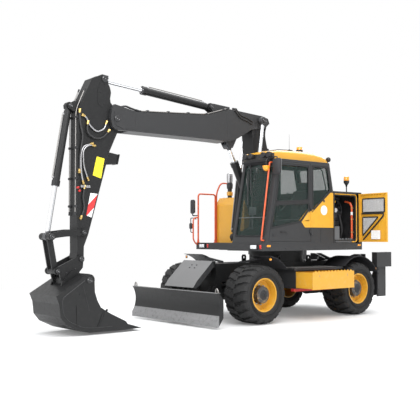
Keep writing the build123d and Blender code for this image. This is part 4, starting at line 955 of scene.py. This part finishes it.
def add_cylinder_trim():
    """Add the gland's bolts, the ports and the pipe along each cylinder."""
    side = Vector(LEFT)
    for body, base, eye, middles, length, radius in CYLINDERS:
        bolts = Form()
        pipe = Form()
        along = (Vector((eye[0], 0, eye[1])) - Vector((base[0], 0, base[1]))).normalized()
        over = along.cross(side)
        if over.z < 0:
            over = -over
        for y in middles:
            start = Vector((base[0], y, base[1]))
            for angle in turns(8):
                spoke = (side * math.cos(angle) + over * math.sin(angle)) * (radius - 8)
                bolts.bolt(start + along * length + spoke, along, 8)
            for distance in (150, length - 130):
                foot = start + along * distance + over * (radius - 4)
                bolts.lathe(foot, over, ((0, 20), (22, 20), (26, 15)), 12)
            pipe.tube([start + along * distance + over * (radius + rise) for distance, rise in
                       ((150, 20), (260, 22), (length - 260, 22), (length - 130, 20))], 9, 50)
        bolts.made(f"{body}_bolts", body, "steel")
        pipe.made(f"{body}_pipe", body, "worn")


# Windows of the cab's left side: name, body, places as (x, z)
SIDE_PANES = [
    ("side_window", UPPER, [(250, 2064), (250, 2878), (-163, 2878), (-250, 2440)]),
    ("door_low_window", "cab_door", [(1345, 1720), (1250, 2130), (372, 2178), (372, 2068), (598, 1840)]),
    ("door_high_window", "cab_door", [(1230, 2192), (1120, 2868), (372, 2868), (372, 2241)]),
]
CAB_SIDE_Y = 1235
BORDER_PROUD, BORDER_WIDTH, BORDER_THICK = 3, 26, 6
SHARPEST_MITRE = 0.35
CAB_SILL_Z, CAB_TOP_Z = 1435, 2960
CAB_SILL_X, CAB_SLOPE = 1500, 300
SEAM_Y = 1235.5
ARM_RESTS, PEDALS = (1072, 508), (700, 880)
ROOF_BEACON, REAR_BEACON = (150, 800), (-1450, 640)


def front_x(z, proud=0):
    """Give how far forward the cab's front lies at a height, and what stands proud of it."""
    return CAB_SILL_X - (z - CAB_SILL_Z) / (CAB_TOP_Z - CAB_SILL_Z) * CAB_SLOPE + proud


def add_seal(name, body, points, radius=11.0):
    """Lay a rubber seal round a window, through places on its frame."""
    middle = (Vector(points[0]) + Vector(points[-1])) / 2
    add_piece(name, body, "seal", ("tube", [middle, *points, middle], radius, 70, 8))


def add_border(name, body, outline):
    """Lay the flat black edge that frames a pane, round an (x, z) outline on the cab's side."""
    middle = sum((Vector(point) for point in outline), Vector((0, 0))) / len(outline)
    y = CAB_SIDE_Y + BORDER_PROUD
    rings = []
    for index, (x, z) in enumerate(outline):
        before, after = Vector(outline[index - 1]), Vector(outline[(index + 1) % len(outline)])
        here = Vector((x, z))
        ways = [(here - before).normalized(), (after - here).normalized()]
        edges = [Vector((way.y, -way.x)) for way in ways]
        if edges[0].dot(here - middle) < 0:
            edges = [-edge for edge in edges]
        bisector = (edges[0] + edges[1]).normalized()
        outer = here + bisector * (BORDER_WIDTH / max(bisector.dot(edges[0]), SHARPEST_MITRE))
        rings.append([(x, y - BORDER_THICK, z), (outer.x, y - BORDER_THICK, outer.y), (outer.x, y, outer.y),
                      (x, y, z)])
    add_piece(name, body, "seal", ("skin", rings, True), smooth=20)


# Small pieces of the cab's door and of the cab: name, finish and solids
CAB_DOOR_PIECES = [
    ("door_handle", "black",
     ("tube", [(1120, 1238, 1640), (1120, 1262, 1640), (980, 1262, 1640), (980, 1238, 1640)], 9, 16)),
    ("door_lock_plate", "black", ("box", (1240, 1233, 1555), (1330, 1238, 1625), 2),
     ("lathe", (1300, 1238, 1590), LEFT, ((-2, 13), (3, 13), (4, 8)), 18)),
    ("door_panel_seams", "seal", ("rod", (322, SEAM_Y, 1727), (480, SEAM_Y, 1727), 2.5, 6),
     ("rod", (480, SEAM_Y, 1727), (592, SEAM_Y, 1858), 2.5, 6)),
]
CAB_PIECES = [
    ("windscreen_divider", "grey",
     ("rod", (front_x(1905, -8), 410, 1905), (front_x(1905, -8), 1165, 1905), 6, 10)),
    ("windscreen_wiper", "black",
     ("rod", (front_x(2870, 16), 560, 2870), (front_x(2330, 16), 690, 2330), 8, 8),
     ("box", (front_x(2560, 8), 560, 2180), (front_x(2560, 14), 572, 2780), 1),
     ("lathe", (front_x(2870, 4), 560, 2870), (1, 0, 0.2), ((0, 26), (16, 24), (20, 16)), 18),
     ("rod", (front_x(2150, 14), 640, 2150), (front_x(2760, 14), 500, 2760), 7, 8)),
    ("cab_panel_seams", "seal", ("rod", (-326, SEAM_Y, 1727), (300, SEAM_Y, 1727), 2.5, 6),
     ("rod", (40, SEAM_Y, 1445), (40, SEAM_Y, 1720), 2.5, 6)),
    ("blank_round_sign", "white",
     ("lathe", (-60, 1234.5, 2060), LEFT, ((0, 92), (2.2, 92), (2.6, 89)), 48)),
    ("filler_lock", "black", ("lathe", (-60, 1234, 2235), LEFT, ((0, 24), (5, 22), (6, 14)), 20)),
    ("roof_hatch_seal", "seal",
     ("tube", [(700, 520, 3180), (900, 520, 3172), (900, 960, 3172), (500, 960, 3190), (500, 520, 3190),
               (700, 520, 3180)], 8, 30, 8)),
    ("radio_mast", "black",
     ("lathe", (600, 960, 3182), UP, ((0, 16), (18, 12), (20, 3), (300, 1.6)), 10)),
    ("roof_lamp_bezels", "black",
     *(("lathe", (1284, y, 3050), FORWARD, ((-30, 52), (4, 52), (10, 47), (5, 43), (3, 12)), 28)
       for y in (465, 605, 945, 1085))),
    ("amber_side_lamp", "amber_lens",
     ("lathe", (1338, 1092, 2838), (0, 0, -1), ((0, 66), (8, 68), (50, 62), (82, 44), (96, 20)), 28)),
    ("side_lamp_stalk", "black",
     ("tube", [(1225, 1092, 2975), (1310, 1092, 2975), (1338, 1092, 2925), (1338, 1092, 2830)], 11, 30)),
    ("cab_grab_rail", "orange",
     ("tube", [(front_x(1490, -4), 1178, 1490), (front_x(1490, 62), 1178, 1490),
               (front_x(2905, 74), 1128, 2905), (front_x(2905, -4), 1128, 2905)], 15, 40, 12)),
    ("left_mirror_face", "mirror", ("box", (1232, 1214, 2694), (1239, 1378, 2944), 2)),
    ("right_mirror_face", "mirror", ("box", (1122, -1318, 2050), (1129, -1207, 2300), 2)),
    ("cab_gutter", "charcoal", ("box", (-218, 1139, 2958), (1210, 1236, 2974), 5),
     ("box", (-218, 344, 2958), (1210, 356, 2974), 4)),
    ("beacon_cups", "black",
     ("lathe", (*ROOF_BEACON, 3184), UP, ((0, 74), (10, 74), (16, 66), (52, 64), (56, 57)), 32),
     ("lathe", (*REAR_BEACON, 2600), UP, ((0, 16), (30, 22), (86, 58), (128, 60), (130, 56)), 32)),
    ("beacon_domes", "amber_lens",
     ("lathe", (*ROOF_BEACON, 3236), UP, ((0, 58), (46, 57), (58, 48), (64, 20)), 32),
     ("lathe", (*REAR_BEACON, 2728), UP, ((0, 58), (70, 57), (84, 48), (92, 20)), 32)),
    ("rear_work_lamp", "black",
     ("tube", [(-282, 1080, 2990), (-330, 1092, 3000), (-360, 1096, 3040)], 11, 20),
     ("lathe", (-346, 1096, 3058), (-1, 0, 0.2), ((-30, 34), (-14, 46), (14, 50), (24, 46), (28, 30)), 24)),
    ("cab_grips", "black",
     *(("lathe", (432, y, 2050), (0.12, 0, 1), ((0, 17), (30, 25), (70, 27), (110, 23), (128, 12)), 16)
       for y in ARM_RESTS),
     *(("box", (170, y - 35, 1930), (470, y + 35, 1965), 12) for y in ARM_RESTS),
     *(("box", (1180, y - 45, 1500), (1280, y + 45, 1516), 4) for y in PEDALS),
     *(("rod", (1230, y, 1480), (1230, y, 1505), 10, 8) for y in PEDALS)),
    ("cab_screen", "grey", ("box", (1150, 450, 1960), (1175, 640, 2110), 8),
     ("rod", (1170, 545, 1700), (1165, 545, 1980), 14, 10)),
    ("cab_blind", "grey", ("box", (1120, 430, 2840), (1180, 1060, 2890), 14)),
]
WINDSCREEN = ((410, 1566), (410, 2894), (1170, 2894), (1170, 1566))
RIGHT_WINDOW = ((1340, 1640), (1130, 2880), (330, 2880), (330, 1850))
REAR_WINDOW = ((425, 2460), (425, 2880), (1025, 2880), (1065, 2460))
MIRROR_SOLIDS = (
    ("box", (1238, 1196, 2676), (1306, 1396, 2962), 24),
    ("box", (1128, -1329, 2032), (1172, -1196, 2318), 18),
    ("box", (1180, -1300, 1716), (1222, -1214, 1836), 14),
    ("tube", [(1215, 1150, 2985), (1235, 1210, 3000), (1262, 1296, 2990), (1268, 1296, 2940)], 12, 30),
    ("tube", [(1150, -1262, 2040), (1150, -1262, 1990), (1066, -1204, 1990)], 12, 20),
    ("tube", [(1200, -1262, 1830), (1200, -1262, 1940), (1170, -1204, 1940), (1110, -1196, 1915)], 9, 20),
    ("tube", [(1200, -1262, 1722), (1200, -1262, 1650), (1176, -1200, 1640)], 9, 20),
)

# The roof's stations, from the front: x, height of its side's top edge, height of its crown
ROOF_STATIONS = [(1226, 3078, 3094), (1190, 3096, 3124), (1080, 3108, 3148), (850, 3116, 3174),
                 (450, 3118, 3190), (100, 3108, 3184), (-120, 3084, 3158), (-230, 3050, 3116),
                 (-280, 2996, 3050)]
ROOF_BOTTOM = 2962
ROOF_SIDES = (352, 1143)
ROOF_EDGE, ROOF_SHOULDER, SHOULDER_SHARE = 14, 70, 0.6


def add_cab():
    """Dress the cab, with crowned roof and rounded mirrors in place of the plain ones."""
    for name, body, outline in SIDE_PANES:
        add_border(f"{name}_border", body, outline)
        add_seal(f"{name}_seal", body, [(x, CAB_SIDE_Y - 4, z) for x, z in outline])
    add_seal("windscreen_seal", UPPER, [(front_x(z, 1), y, z) for y, z in WINDSCREEN], 14)
    add_seal("right_window_seal", UPPER, [(x, 343, z) for x, z in RIGHT_WINDOW])
    add_seal("rear_window_seal", UPPER, [(-333 + (z - 2420) / 540 * 110, y, z) for y, z in REAR_WINDOW])
    for body, rows in (("cab_door", CAB_DOOR_PIECES), (UPPER, CAB_PIECES)):
        for name, finish, *solids in rows:
            add_piece(name, body, finish, *solids)
    add_piece("door_corner_panel", "cab_door", "amber",
              ("plate", [(604, 1848), (366, 1848), (366, 2072)], 1196, CAB_SIDE_Y), smooth=20)
    add_piece("windscreen_visor", UPPER, "black",
              ("plate", [(1238, 2900), (1300, 2930), (1296, 2946), (1232, 2946)], 400, 1100), smooth=20)
    mirrors = add_piece("mirror_shells", UPPER, "black", *MIRROR_SOLIDS)
    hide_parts("mirrors")
    low_y, high_y = ROOF_SIDES
    rings = []
    for x, edge, crown in ROOF_STATIONS:
        shoulder = edge + (crown - edge) * SHOULDER_SHARE
        half = [(0, ROOF_BOTTOM), (0, edge - ROOF_EDGE), (ROOF_EDGE, edge + 4), (ROOF_SHOULDER, shoulder)]
        rings.append([*((x, low_y + inward, z) for inward, z in half), (x, (low_y + high_y) / 2, crown),
                      *((x, high_y - inward, z) for inward, z in reversed(half))])
    shell = add_piece("roof_shell", UPPER, "roof", ("skin", rings), smooth=35)
    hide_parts("cab_roof")


AIR_CLEANER = (310, -1055)
FAN_CENTRE, FAN_BLADES = (-815, 2090), 9
FAN_PROFILE = ((0, 205), (110, 205), (124, 196), (118, 184), (60, 180), (58, 60), (112, 58), (128, 50))
CHARGE_X, CHARGE_Y = -985, 1150
CLIP_HEIGHTS = (1640, 1900, 2120)
RAIL_Y, RAIL_FEET, HOOD_FEET = -1190, (1060, 600), (170, 350)

# Small pieces of the engine bay, the tank side and the hood
ENGINE_PIECES = [
    ("bay_edge", "amber",
     ("tube", [(-372, 1224, 2388), (-1042, 1224, 2388), (-1042, 1224, 1456), (-900, 1224, 1456)], 11, 60)),
    ("bay_seal", "seal",
     ("tube", [(-396, 1222, 1486), (-1018, 1222, 1486), (-1018, 1222, 2364), (-396, 1222, 2364)], 10, 60)),
    ("fan_hub_plate", "white",
     ("lathe", round_place(FAN_CENTRE, 0, 0, 884), LEFT, ((0, 46), (4, 46), (7, 38)), 28)),
    ("filler_cap", "amber", ("lathe", (-800, 876, 2262), LEFT, ((-10, 22), (6, 22), (9, 12)), 18)),
    ("bay_floor_fittings", "grey", ("box", (-1030, 1100, 1437), (-420, 1215, 1500), 8),
     ("box", (-560, 820, 1437), (-385, 1200, 1760), 10),
     *(("lathe", (x, 1150, 1498), UP, ((0, 24), (26, 24), (30, 14)), 12)
       for x in (-960, -880, -800, -700, -620))),
    ("bay_hoses", "hose",
     ("tube", [(-600, 760, 2300), (-600, 860, 2330), (-700, 900, 2345), (-900, 900, 2330),
               (-940, 800, 2280)], 24, 60),
     ("tube", [(-640, 770, 1500), (-640, 850, 1520), (-660, 860, 1800), (-690, 800, 1930)], 20, 60),
     ("tube", [(-900, 770, 1520), (-920, 900, 1500), (-920, 960, 1700), (-900, 900, 2000),
               (-900, 780, 2060)], 20, 60)),
    ("bay_charge_pipe", "orange",
     ("tube", [(CHARGE_X, 1130, 1460), (CHARGE_X, CHARGE_Y, 1530), (CHARGE_X, CHARGE_Y, 2160),
               (-975, 1110, 2240), (-960, 1000, 2260)], 21, 70, 14)),
    ("pipe_white_band", "white", ("lathe", (CHARGE_X, CHARGE_Y, 1990), UP, ((0, 24), (60, 24)), 20)),
    ("pipe_clips_bay", "brass",
     *(("lathe", (CHARGE_X, CHARGE_Y, z), UP, ((0, 25), (16, 25)), 20) for z in CLIP_HEIGHTS),
     *(("box", (-1034, 1140, z), (-1000, 1160, z + 16), 3) for z in CLIP_HEIGHTS)),
    ("hood_latches", "steel",
     *(("lathe", (x, -200, 2478), (0.05, 0, 1), ((-30, 22), (8, 22), (10, 16)), 18) for x in (-960, -560))),
    ("air_cleaner_bowl", "steel",
     ("lathe", (*AIR_CLEANER, 2690), UP,
      ((0, 48), (10, 60), (60, 63), (150, 66), (190, 62), (210, 40), (214, 15)), 36)),
    ("air_cleaner_neck", "black",
     ("lathe", (*AIR_CLEANER, 2366), UP,
      ((0, 80), (10, 80), (14, 46), (200, 46), (206, 62), (300, 66), (324, 56), (330, 46)), 32)),
    ("air_cleaner_collar", "amber",
     ("lathe", (*AIR_CLEANER, 2424), UP, ((0, 58), (4, 64), (74, 64), (80, 56)), 32)),
    ("tank_filler", "black",
     ("lathe", (60, -760, 2368), UP, ((0, 60), (20, 60), (26, 52), (44, 50), (48, 40)), 24)),
    ("tank_rails", "orange",
     ("tube", [(1060, -1192, 1950), (1150, -1196, 1945), (1186, -1198, 1900), (1186, -1198, 1500),
               (1120, -1196, 1412), (1068, -1192, 1400)], 15, 50),
     ("tube", [(566, RAIL_Y, 1440), (566, RAIL_Y, 2470), (450, RAIL_Y, 2690), (230, RAIL_Y, 2690),
               (170, -1180, 2540), (170, -1170, 2372)], 17, 90, 12)),
    ("tank_corner_strip", "black", ("box", (556, -1236, 1437), (572, -1180, 1640), 4)),
    ("tank_taps", "steel", ("lathe", (640, -300, 1560), FORWARD, ((0, 40), (60, 40), (66, 30)), 20),
     ("lathe", (640, -300, 1470), FORWARD, ((0, 30), (90, 30), (96, 20)), 20)),
    ("rail_feet", "orange",
     *(("lathe", (x, RAIL_Y, 1435), UP, ((0, 34), (9, 34), (12, 24), (60, 22)), 20) for x in RAIL_FEET),
     *(("bolt", (x + 24, RAIL_Y, 1445), UP, 6) for x in RAIL_FEET),
     *(("lathe", (x, RAIL_Y, 2370.5), UP, ((0, 34), (9, 34), (12, 22)), 20) for x in HOOD_FEET)),
    ("rear_camera", "black",
     ("lathe", (-1716, 0, 2240), (-1, 0, 0), ((-30, 26), (4, 26), (6, 20), (2, 12)), 20)),
]


def add_engine_side():
    """Dress the engine bay and the tank side, and put the cooling fan in its ring."""
    for name, finish, *solids in ENGINE_PIECES:
        add_piece(name, UPPER, finish, *solids)
    fins = Form()
    for at in spaced((0, 0, 1480), (0, 0, 1870), 22):
        fins.skin([[(x, y, at.z + rise) for y, rise in ((758, 0), (768, 0), (768, 9), (758, 9))]
                   for x in (-1050, -450)])
    fins.made("cooler_fins", UPPER, "steel", 0)
    vents = Form()
    for at in spaced((0, 0, 1560), (0, 0, 2080), 14):
        vents.box((-900, -1241, at.z), (-420, -1234, at.z + 12), 2)
    vents.made("right_side_vents", UPPER, "black", 0)
    fan = Form()
    fan.lathe(round_place(FAN_CENTRE, 0, 0, 758), LEFT, FAN_PROFILE, 40)
    for angle in turns(FAN_BLADES):
        over = Vector((-math.sin(angle), 0, math.cos(angle))) * 30
        blade = []
        for reach, twist in ((58, 24), (178, 34)):
            at = Vector(round_place(FAN_CENTRE, reach, angle, 838))
            blade.append([at - over + Vector((0, twist, 0)), at + over, at + over + Vector((0, 5, 0)),
                          at - over + Vector((0, twist + 5, 0))])
        fan.skin(blade)
    fan.made("cooling_fan", UPPER, "black", 30)


# The open engine door: its hinge, its width and how far it is swung, with the (x, z) outlines of
# its seals and panels as places from the hinge
DOOR_HINGE = Vector((-1085, 1266, 0))
DOOR_WIDTH = 730
DOOR_SWUNG = Matrix.Rotation(math.radians(84), 3, "Z")
MESH_BARS, MESH_WIRE = 26, 13
MESH_START, MESH_MARGIN = 112, 190
TOP_FRAME = ((95, 2035), (95, 2302), (662, 2302), (662, 2035), (95, 2035))
LOW_FRAME = ((95, 1580), (95, 1940), (500, 1940), (95, 1580))
DOOR_RIM = ((70, 2010), (640, 2010), (640, 1960), (110, 1500))


def swung(x, y, z):
    """Turn a place on the closed door, with x from its hinge, to where it is on the open one."""
    return DOOR_HINGE + DOOR_SWUNG @ Vector((x, y - DOOR_HINGE.y, z))


def door_patch(outline, low_y, high_y):
    """Give the skin of a flat panel on the door's inner side."""
    return ("skin", [[swung(x, y, z) for x, z in outline] for y in (low_y, high_y)])


def add_door_inside():
    """Dress the open engine door's inner side, in the door's own turned place."""
    add_piece("engine_door_seals", "engine_door", "seal",
              *(("tube", [swung(x, 1262, z) for x, z in points], 13, 20, 8)
                for points in (TOP_FRAME, LOW_FRAME)),
              ("tube", [swung(x, 1258, z) for x, z in DOOR_RIM], 15, 40, 8))
    bars = []
    for index in range(MESH_BARS):
        x = MESH_START + index * (DOOR_WIDTH - MESH_MARGIN) / MESH_BARS
        end = x + MESH_WIRE
        bars.append([(x, 2046), (end, 2046), (end, 2290), (x, 2290)])
        low, high = 1600 + max(x - 100, 0) * 0.85, 1935
        if low < high - 20:
            bars.append([(x, low), (end, low + 11), (end, high), (x, high)])
    add_piece("engine_door_mesh", "engine_door", "zinc",
              *(door_patch(bar, 1258, 1264) for bar in bars), smooth=0)
    add_piece("engine_door_backing", "engine_door", "black",
              door_patch([(100, 2040), (656, 2040), (656, 2297), (100, 2297)], 1265, 1268),
              door_patch([(100, 1590), (490, 1935), (100, 1935)], 1265, 1268), smooth=0)
    add_piece("blank_plate_door", "engine_door", "white",
              door_patch([(330, 1510), (560, 1510), (560, 1680), (330, 1680)], 1248, 1252), smooth=0)


# Headlamps, as the x of their fronts and their right-hand ends, and markers, as their rear ends and sides
HEADLAMPS = ((1592, 930), (1096, -1120))
SIDE_MARKERS = ((1380, 1), (940, -1), (-1150, 1), (-1150, -1))
EYE_STEPS = 24


def add_platform_trim():
    """Add the platform's lamps, markers and bolts, and the counterweight's lifting eyes."""
    rims = Form()
    lenses = Form()
    for front, low in HEADLAMPS:
        for y in (low - 8, low + 166):
            rims.box((front - 26, y, 1326), (front + 6, y + 12, 1418), 3)
        for z in (1326, 1408):
            rims.box((front - 26, low - 8, z), (front + 6, low + 178, z + 10), 3)
        lenses.box((front - 3, low + 6, 1338), (front + 3, low + 164, 1406), 2)
    rims.made("headlamp_rims", UPPER, "black")
    lenses.made("headlamp_lenses", UPPER, "clear_lens")
    add_piece("red_reflectors", UPPER, "red_lens", ("box", (1562, 1150, 1336), (1573, 1196, 1408), 3),
              ("box", (1066, -900, 1336), (1077, -854, 1408), 3),
              *(("box", (-1408, y - 60, 1380), (-1388, y + 60, 1420), 3) for y in (950, -950)))
    add_piece("side_markers", UPPER, "amber_lens",
              *(("box", (low, sign * 1240 - 8, 1372), (low + 90, sign * 1240 + 8, 1408), 4)
                for low, sign in SIDE_MARKERS))
    add_piece("platform_bolts", UPPER, "charcoal",
              *(("bolt", (x, sign * 187, 1480), (0, sign, 0), 14)
                for x in (640, 760, 1040) for sign in SIDES),
              *(("bolt", at, LEFT, 10) for at in spaced((-1000, 1241, 1340), (1400, 1241, 1340), 7)))
    eyes = Form()
    for sign in SIDES:
        rings = []
        for index in range(EYE_STEPS):
            angle = math.pi * index / (EYE_STEPS - 1)
            middle = Vector((-1420, sign * 820 + 55 * math.cos(angle), 2398 + 60 * math.sin(angle)))
            out = Vector((0, math.cos(angle), math.sin(angle)))
            rings.append([middle + out * (math.cos(turn) * 13) + Vector((math.sin(turn) * 13, 0, 0))
                          for turn in turns(10)])
        eyes.skin(rings)
    eyes.made("lifting_eyes", UPPER, "charcoal")


LEG_X, PAD_HEIGHTS = -1900, (380, 470, 800, 890)


def add_outrigger_trim():
    """Add the outriggers' brass pins, pad bolts and hoses."""
    for side, sign in (("left", 1), ("right", -1)):
        add_piece(f"outrigger_pins_{side}", LOWER, "brass",
                  *(("lathe", (LEG_X + way * 116, sign * 800, 390), (way, 0, 0),
                     ((0, 50), (8, 50), (11, 44), (11, 16)), 30) for way in SIDES))
        add_piece(f"outrigger_bolts_{side}", f"outrigger_leg_{side}", "charcoal",
                  *(("bolt", (LEG_X + shift, sign * 1181, z), (0, sign, 0), 12)
                    for z in PAD_HEIGHTS for shift in (105, -105)))
        add_piece(f"outrigger_hoses_{side}", LOWER, "hose",
                  *(("tube", [(-1785, sign * 470, 1120 + rise), (-1785, sign * 520, 1140 + rise),
                              (-1830, sign * 590, 1120 + rise)], 10, 40) for rise in (-30, 30)))


# Cushions of the seat: name, lowest and highest corner, lean of the back in degrees
CUSHIONS = [
    ("seat_cushion", (85, 565, 1752), (612, 1015, 1880), 0),
    ("seat_back", (-5, 575, 1850), (150, 1005, 2440), -9),
    ("seat_headrest", (-5, 665, 2455), (85, 915, 2600), -4),
]
# In metres: how far the cushions are puffed, their rounded edges, and their grooves
PUFF, EDGE_ROUND = 0.011, 0.028
GROOVE_DEPTH, GROOVE_STEP = 0.004, 0.15
SHORTEST_CUT, PAD_CUTS = 0.08, 5
# How far out a groove runs, the least crown that it needs, and how narrow it is
GROOVE_SPREAD, GROOVE_CROWN, GROOVE_POWER = 0.75, 0.1, 6


def add_seat():
    """Upholster the seat: crowned, grooved cushions on the seat's frame, with its belt."""
    for name, low, high, lean in CUSHIONS:
        data = bpy.data.meshes.new(name)
        pad = bmesh.new()
        middle = (Vector(low) + Vector(high)) / 2
        size = (Vector(high) - Vector(low)) * MM
        bmesh.ops.create_cube(pad, size=1.0)
        bmesh.ops.scale(pad, vec=size, verts=pad.verts)
        bmesh.ops.bevel(pad, geom=pad.edges[:], offset=EDGE_ROUND, segments=3, affect="EDGES", profile=0.6)
        long_edges = [edge for edge in pad.edges if edge.calc_length() > SHORTEST_CUT]
        bmesh.ops.subdivide_edges(pad, edges=long_edges, cuts=PAD_CUTS, use_grid_fill=True)
        for vert in pad.verts:
            share = [abs(part) / (whole / 2) for part, whole in zip(vert.co, size)]
            crown = max(1 - max(sorted(share)[:2]) ** 2, 0)
            vert.co += vert.normal * PUFF * crown
            groove = math.cos(math.tau * vert.co.y / GROOVE_STEP)
            if share[1] < GROOVE_SPREAD and crown > GROOVE_CROWN:
                vert.co -= vert.normal * GROOVE_DEPTH * max(groove, 0) ** GROOVE_POWER
        spin = Matrix.Rotation(math.radians(lean), 4, "Y")
        bmesh.ops.transform(pad, matrix=Matrix.Translation(place(*middle)) @ spin, verts=pad.verts)
        pad.to_mesh(data)
        pad.free()
        data.shade_smooth()
        data.materials.append(FINISHES["cloth"])
        cushion = bpy.data.objects.new(name, data)
        bpy.context.scene.collection.objects.link(cushion)
        rounder = cushion.modifiers.new("rounder", "SUBSURF")
        rounder.levels = rounder.render_levels = 1
        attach(cushion, UPPER)
        if name == "seat_cushion":
            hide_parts("seat")
    add_piece("seat_frame", UPPER, "black", ("box", (120, 640, 1476), (510, 940, 1560), 12),
              ("box", (150, 670, 1560), (480, 910, 1700), 20),
              ("box", (100, 600, 1700), (590, 980, 1756), 14),
              *(("tube", [(60, y, 1800), (20, y, 1830), (-34, y, 2300)], 14, 40) for y in (640, 940)),
              *(("tube", [(10, y, 2420), (25, y, 2520)], 8, 20) for y in (730, 850)))
    add_piece("seat_belt", UPPER, "red",
              ("plate", [(120, 1868), (160, 1884), (190, 1880), (150, 1862)], 560, 1020))


# Camera at the photograph's angle
CAMERA_PLACE = (10690, 10630, 1556)
CAMERA_HEADING = math.radians(-130.08)
CAMERA_RISE = math.radians(2.07)
CAMERA_LENS = 63.4
SENSOR_WIDTH = 36.0
FARTHEST_SEEN = 400.0


def add_camera():
    """Set up the camera."""
    data = bpy.data.cameras.new("camera")
    data.lens = CAMERA_LENS
    data.sensor_width = SENSOR_WIDTH
    data.clip_end = FARTHEST_SEEN
    camera = bpy.data.objects.new("camera", data)
    camera.location = place(*CAMERA_PLACE)
    looks = Vector((math.cos(CAMERA_HEADING), math.sin(CAMERA_HEADING), math.tan(CAMERA_RISE)))
    camera.rotation_euler = looks.to_track_quat("-Z", "Y").to_euler()
    bpy.context.scene.collection.objects.link(camera)
    bpy.context.scene.camera = camera


# Soft studio light: name, place, size in metres and power in watts
LAMPS = [
    ("key", (6000, 9000, 10000), 9.0, 1350.0),
    ("fill", (13000, 1000, 6000), 9.0, 650.0),
    ("back", (-9000, -7000, 9000), 10.0, 900.0),
    ("top", (0, 0, 12000), 12.0, 800.0),
]
LIT_POINT = (800, 0, 1600)
ROOM_COLOR = (0.96, 0.98, 1.0, 1.0)
ROOM_STRENGTH = 0.8


def glowing(tree, kind, color, strength):
    """Add a background or emission node of a colour."""
    node = tree.nodes.new(kind)
    node.inputs["Color"].default_value = color
    node.inputs["Strength"].default_value = strength
    return node


def larger(tree, first, second):
    """Add a node that takes the larger of two sockets."""
    node = tree.nodes.new("ShaderNodeMath")
    node.operation = "MAXIMUM"
    tree.links.new(first, node.inputs[0])
    tree.links.new(second, node.inputs[1])
    return node.outputs[0]


def either_shader(tree, share, first, second):
    """Add a node that mixes two shaders, with share 0 for the first and 1 for the second."""
    node = tree.nodes.new("ShaderNodeMixShader")
    for socket, source in zip(node.inputs, (share, first.outputs[0], second.outputs[0])):
        tree.links.new(source, socket)
    return node.outputs[0]


def add_light():
    """Light the machine with large soft lamps in a bright room whose backdrop is white."""
    for name, at, size, power in LAMPS:
        data = bpy.data.lights.new(name, "AREA")
        data.size = size
        data.energy = power
        lamp = bpy.data.objects.new(name, data)
        lamp.location = place(*at)
        aim = place(*LIT_POINT) - lamp.location
        lamp.rotation_euler = aim.to_track_quat("-Z", "Y").to_euler()
        bpy.context.scene.collection.objects.link(lamp)
    world = bpy.data.worlds.new("studio")
    bpy.context.scene.world = world
    world.use_nodes = True
    tree = world.node_tree
    tree.nodes.clear()
    rays = tree.nodes.new("ShaderNodeLightPath").outputs
    seen = larger(tree, rays["Is Camera Ray"], rays["Is Transmission Ray"])
    seen = larger(tree, seen, rays["Is Glossy Ray"])
    room = glowing(tree, "ShaderNodeBackground", ROOM_COLOR, ROOM_STRENGTH)
    backdrop = glowing(tree, "ShaderNodeBackground", WHITE, 1.0)
    out = tree.nodes.new("ShaderNodeOutputWorld")
    tree.links.new(either_shader(tree, seen, room, backdrop), out.inputs["Surface"])
    bpy.context.scene.view_settings.view_transform = "Standard"


FLOOR_HALF = 120000
# In metres from the machine's middle, where the floor begins to fade and where it is all white
FLOOR_FADE = (5.5, 10.5)
FLOOR_MIDDLE = (900, 0, 0)
FLOOR_GREY = (0.86, 0.86, 0.86)
NEAR_GLOW = 0.14


def add_floor():
    """Lay a plain pale floor, which turns to the backdrop's white away from the machine."""
    corners = [place(x * FLOOR_HALF, y * FLOOR_HALF, 0) for x, y in ((-1, -1), (1, -1), (1, 1), (-1, 1))]
    mesh = bpy.data.meshes.new("floor")
    mesh.from_pydata(corners, [], [(0, 1, 2, 3)])
    floor = bpy.data.objects.new("floor", mesh)
    bpy.context.scene.collection.objects.link(floor)
    cement = Finish("pale_floor", FLOOR_GREY, 0.9)
    middle = place(*FLOOR_MIDDLE)
    across, along = cement.part("X") - middle.x, cement.part("Y") - middle.y
    away = ((across * across + along * along) ** 0.5).ramp(*FLOOR_FADE)
    tree = cement.tree
    rays = tree.nodes.new("ShaderNodeLightPath").outputs
    seen = Term(cement, larger(tree, rays["Is Camera Ray"], rays["Is Transmission Ray"]))
    share = (away * (1 - NEAR_GLOW) + NEAR_GLOW) * seen
    glow = glowing(tree, "ShaderNodeEmission", WHITE, 1.0)
    tree.links.new(either_shader(tree, share.socket, cement.shader, glow), cement.output.inputs["Surface"])
    floor.data.materials.append(cement.material)


add_camera()
add_light()
add_floor()
for node_name, node_object in frame["nodes"].items():
    finish_node(node_name, node_object)
for end, wheel_x in zip(("front", "rear"), AXLE_X):
    add_wheel(f"{end}_left", wheel_x, 1)
    add_wheel(f"{end}_right", wheel_x, -1)
add_undercarriage()
add_blade()
add_pins()
add_pipes()
add_boom_trim()
add_bucket_trim()
add_cylinder_trim()
add_cab()
add_engine_side()
add_door_inside()
add_platform_trim()
add_outrigger_trim()
add_seat()
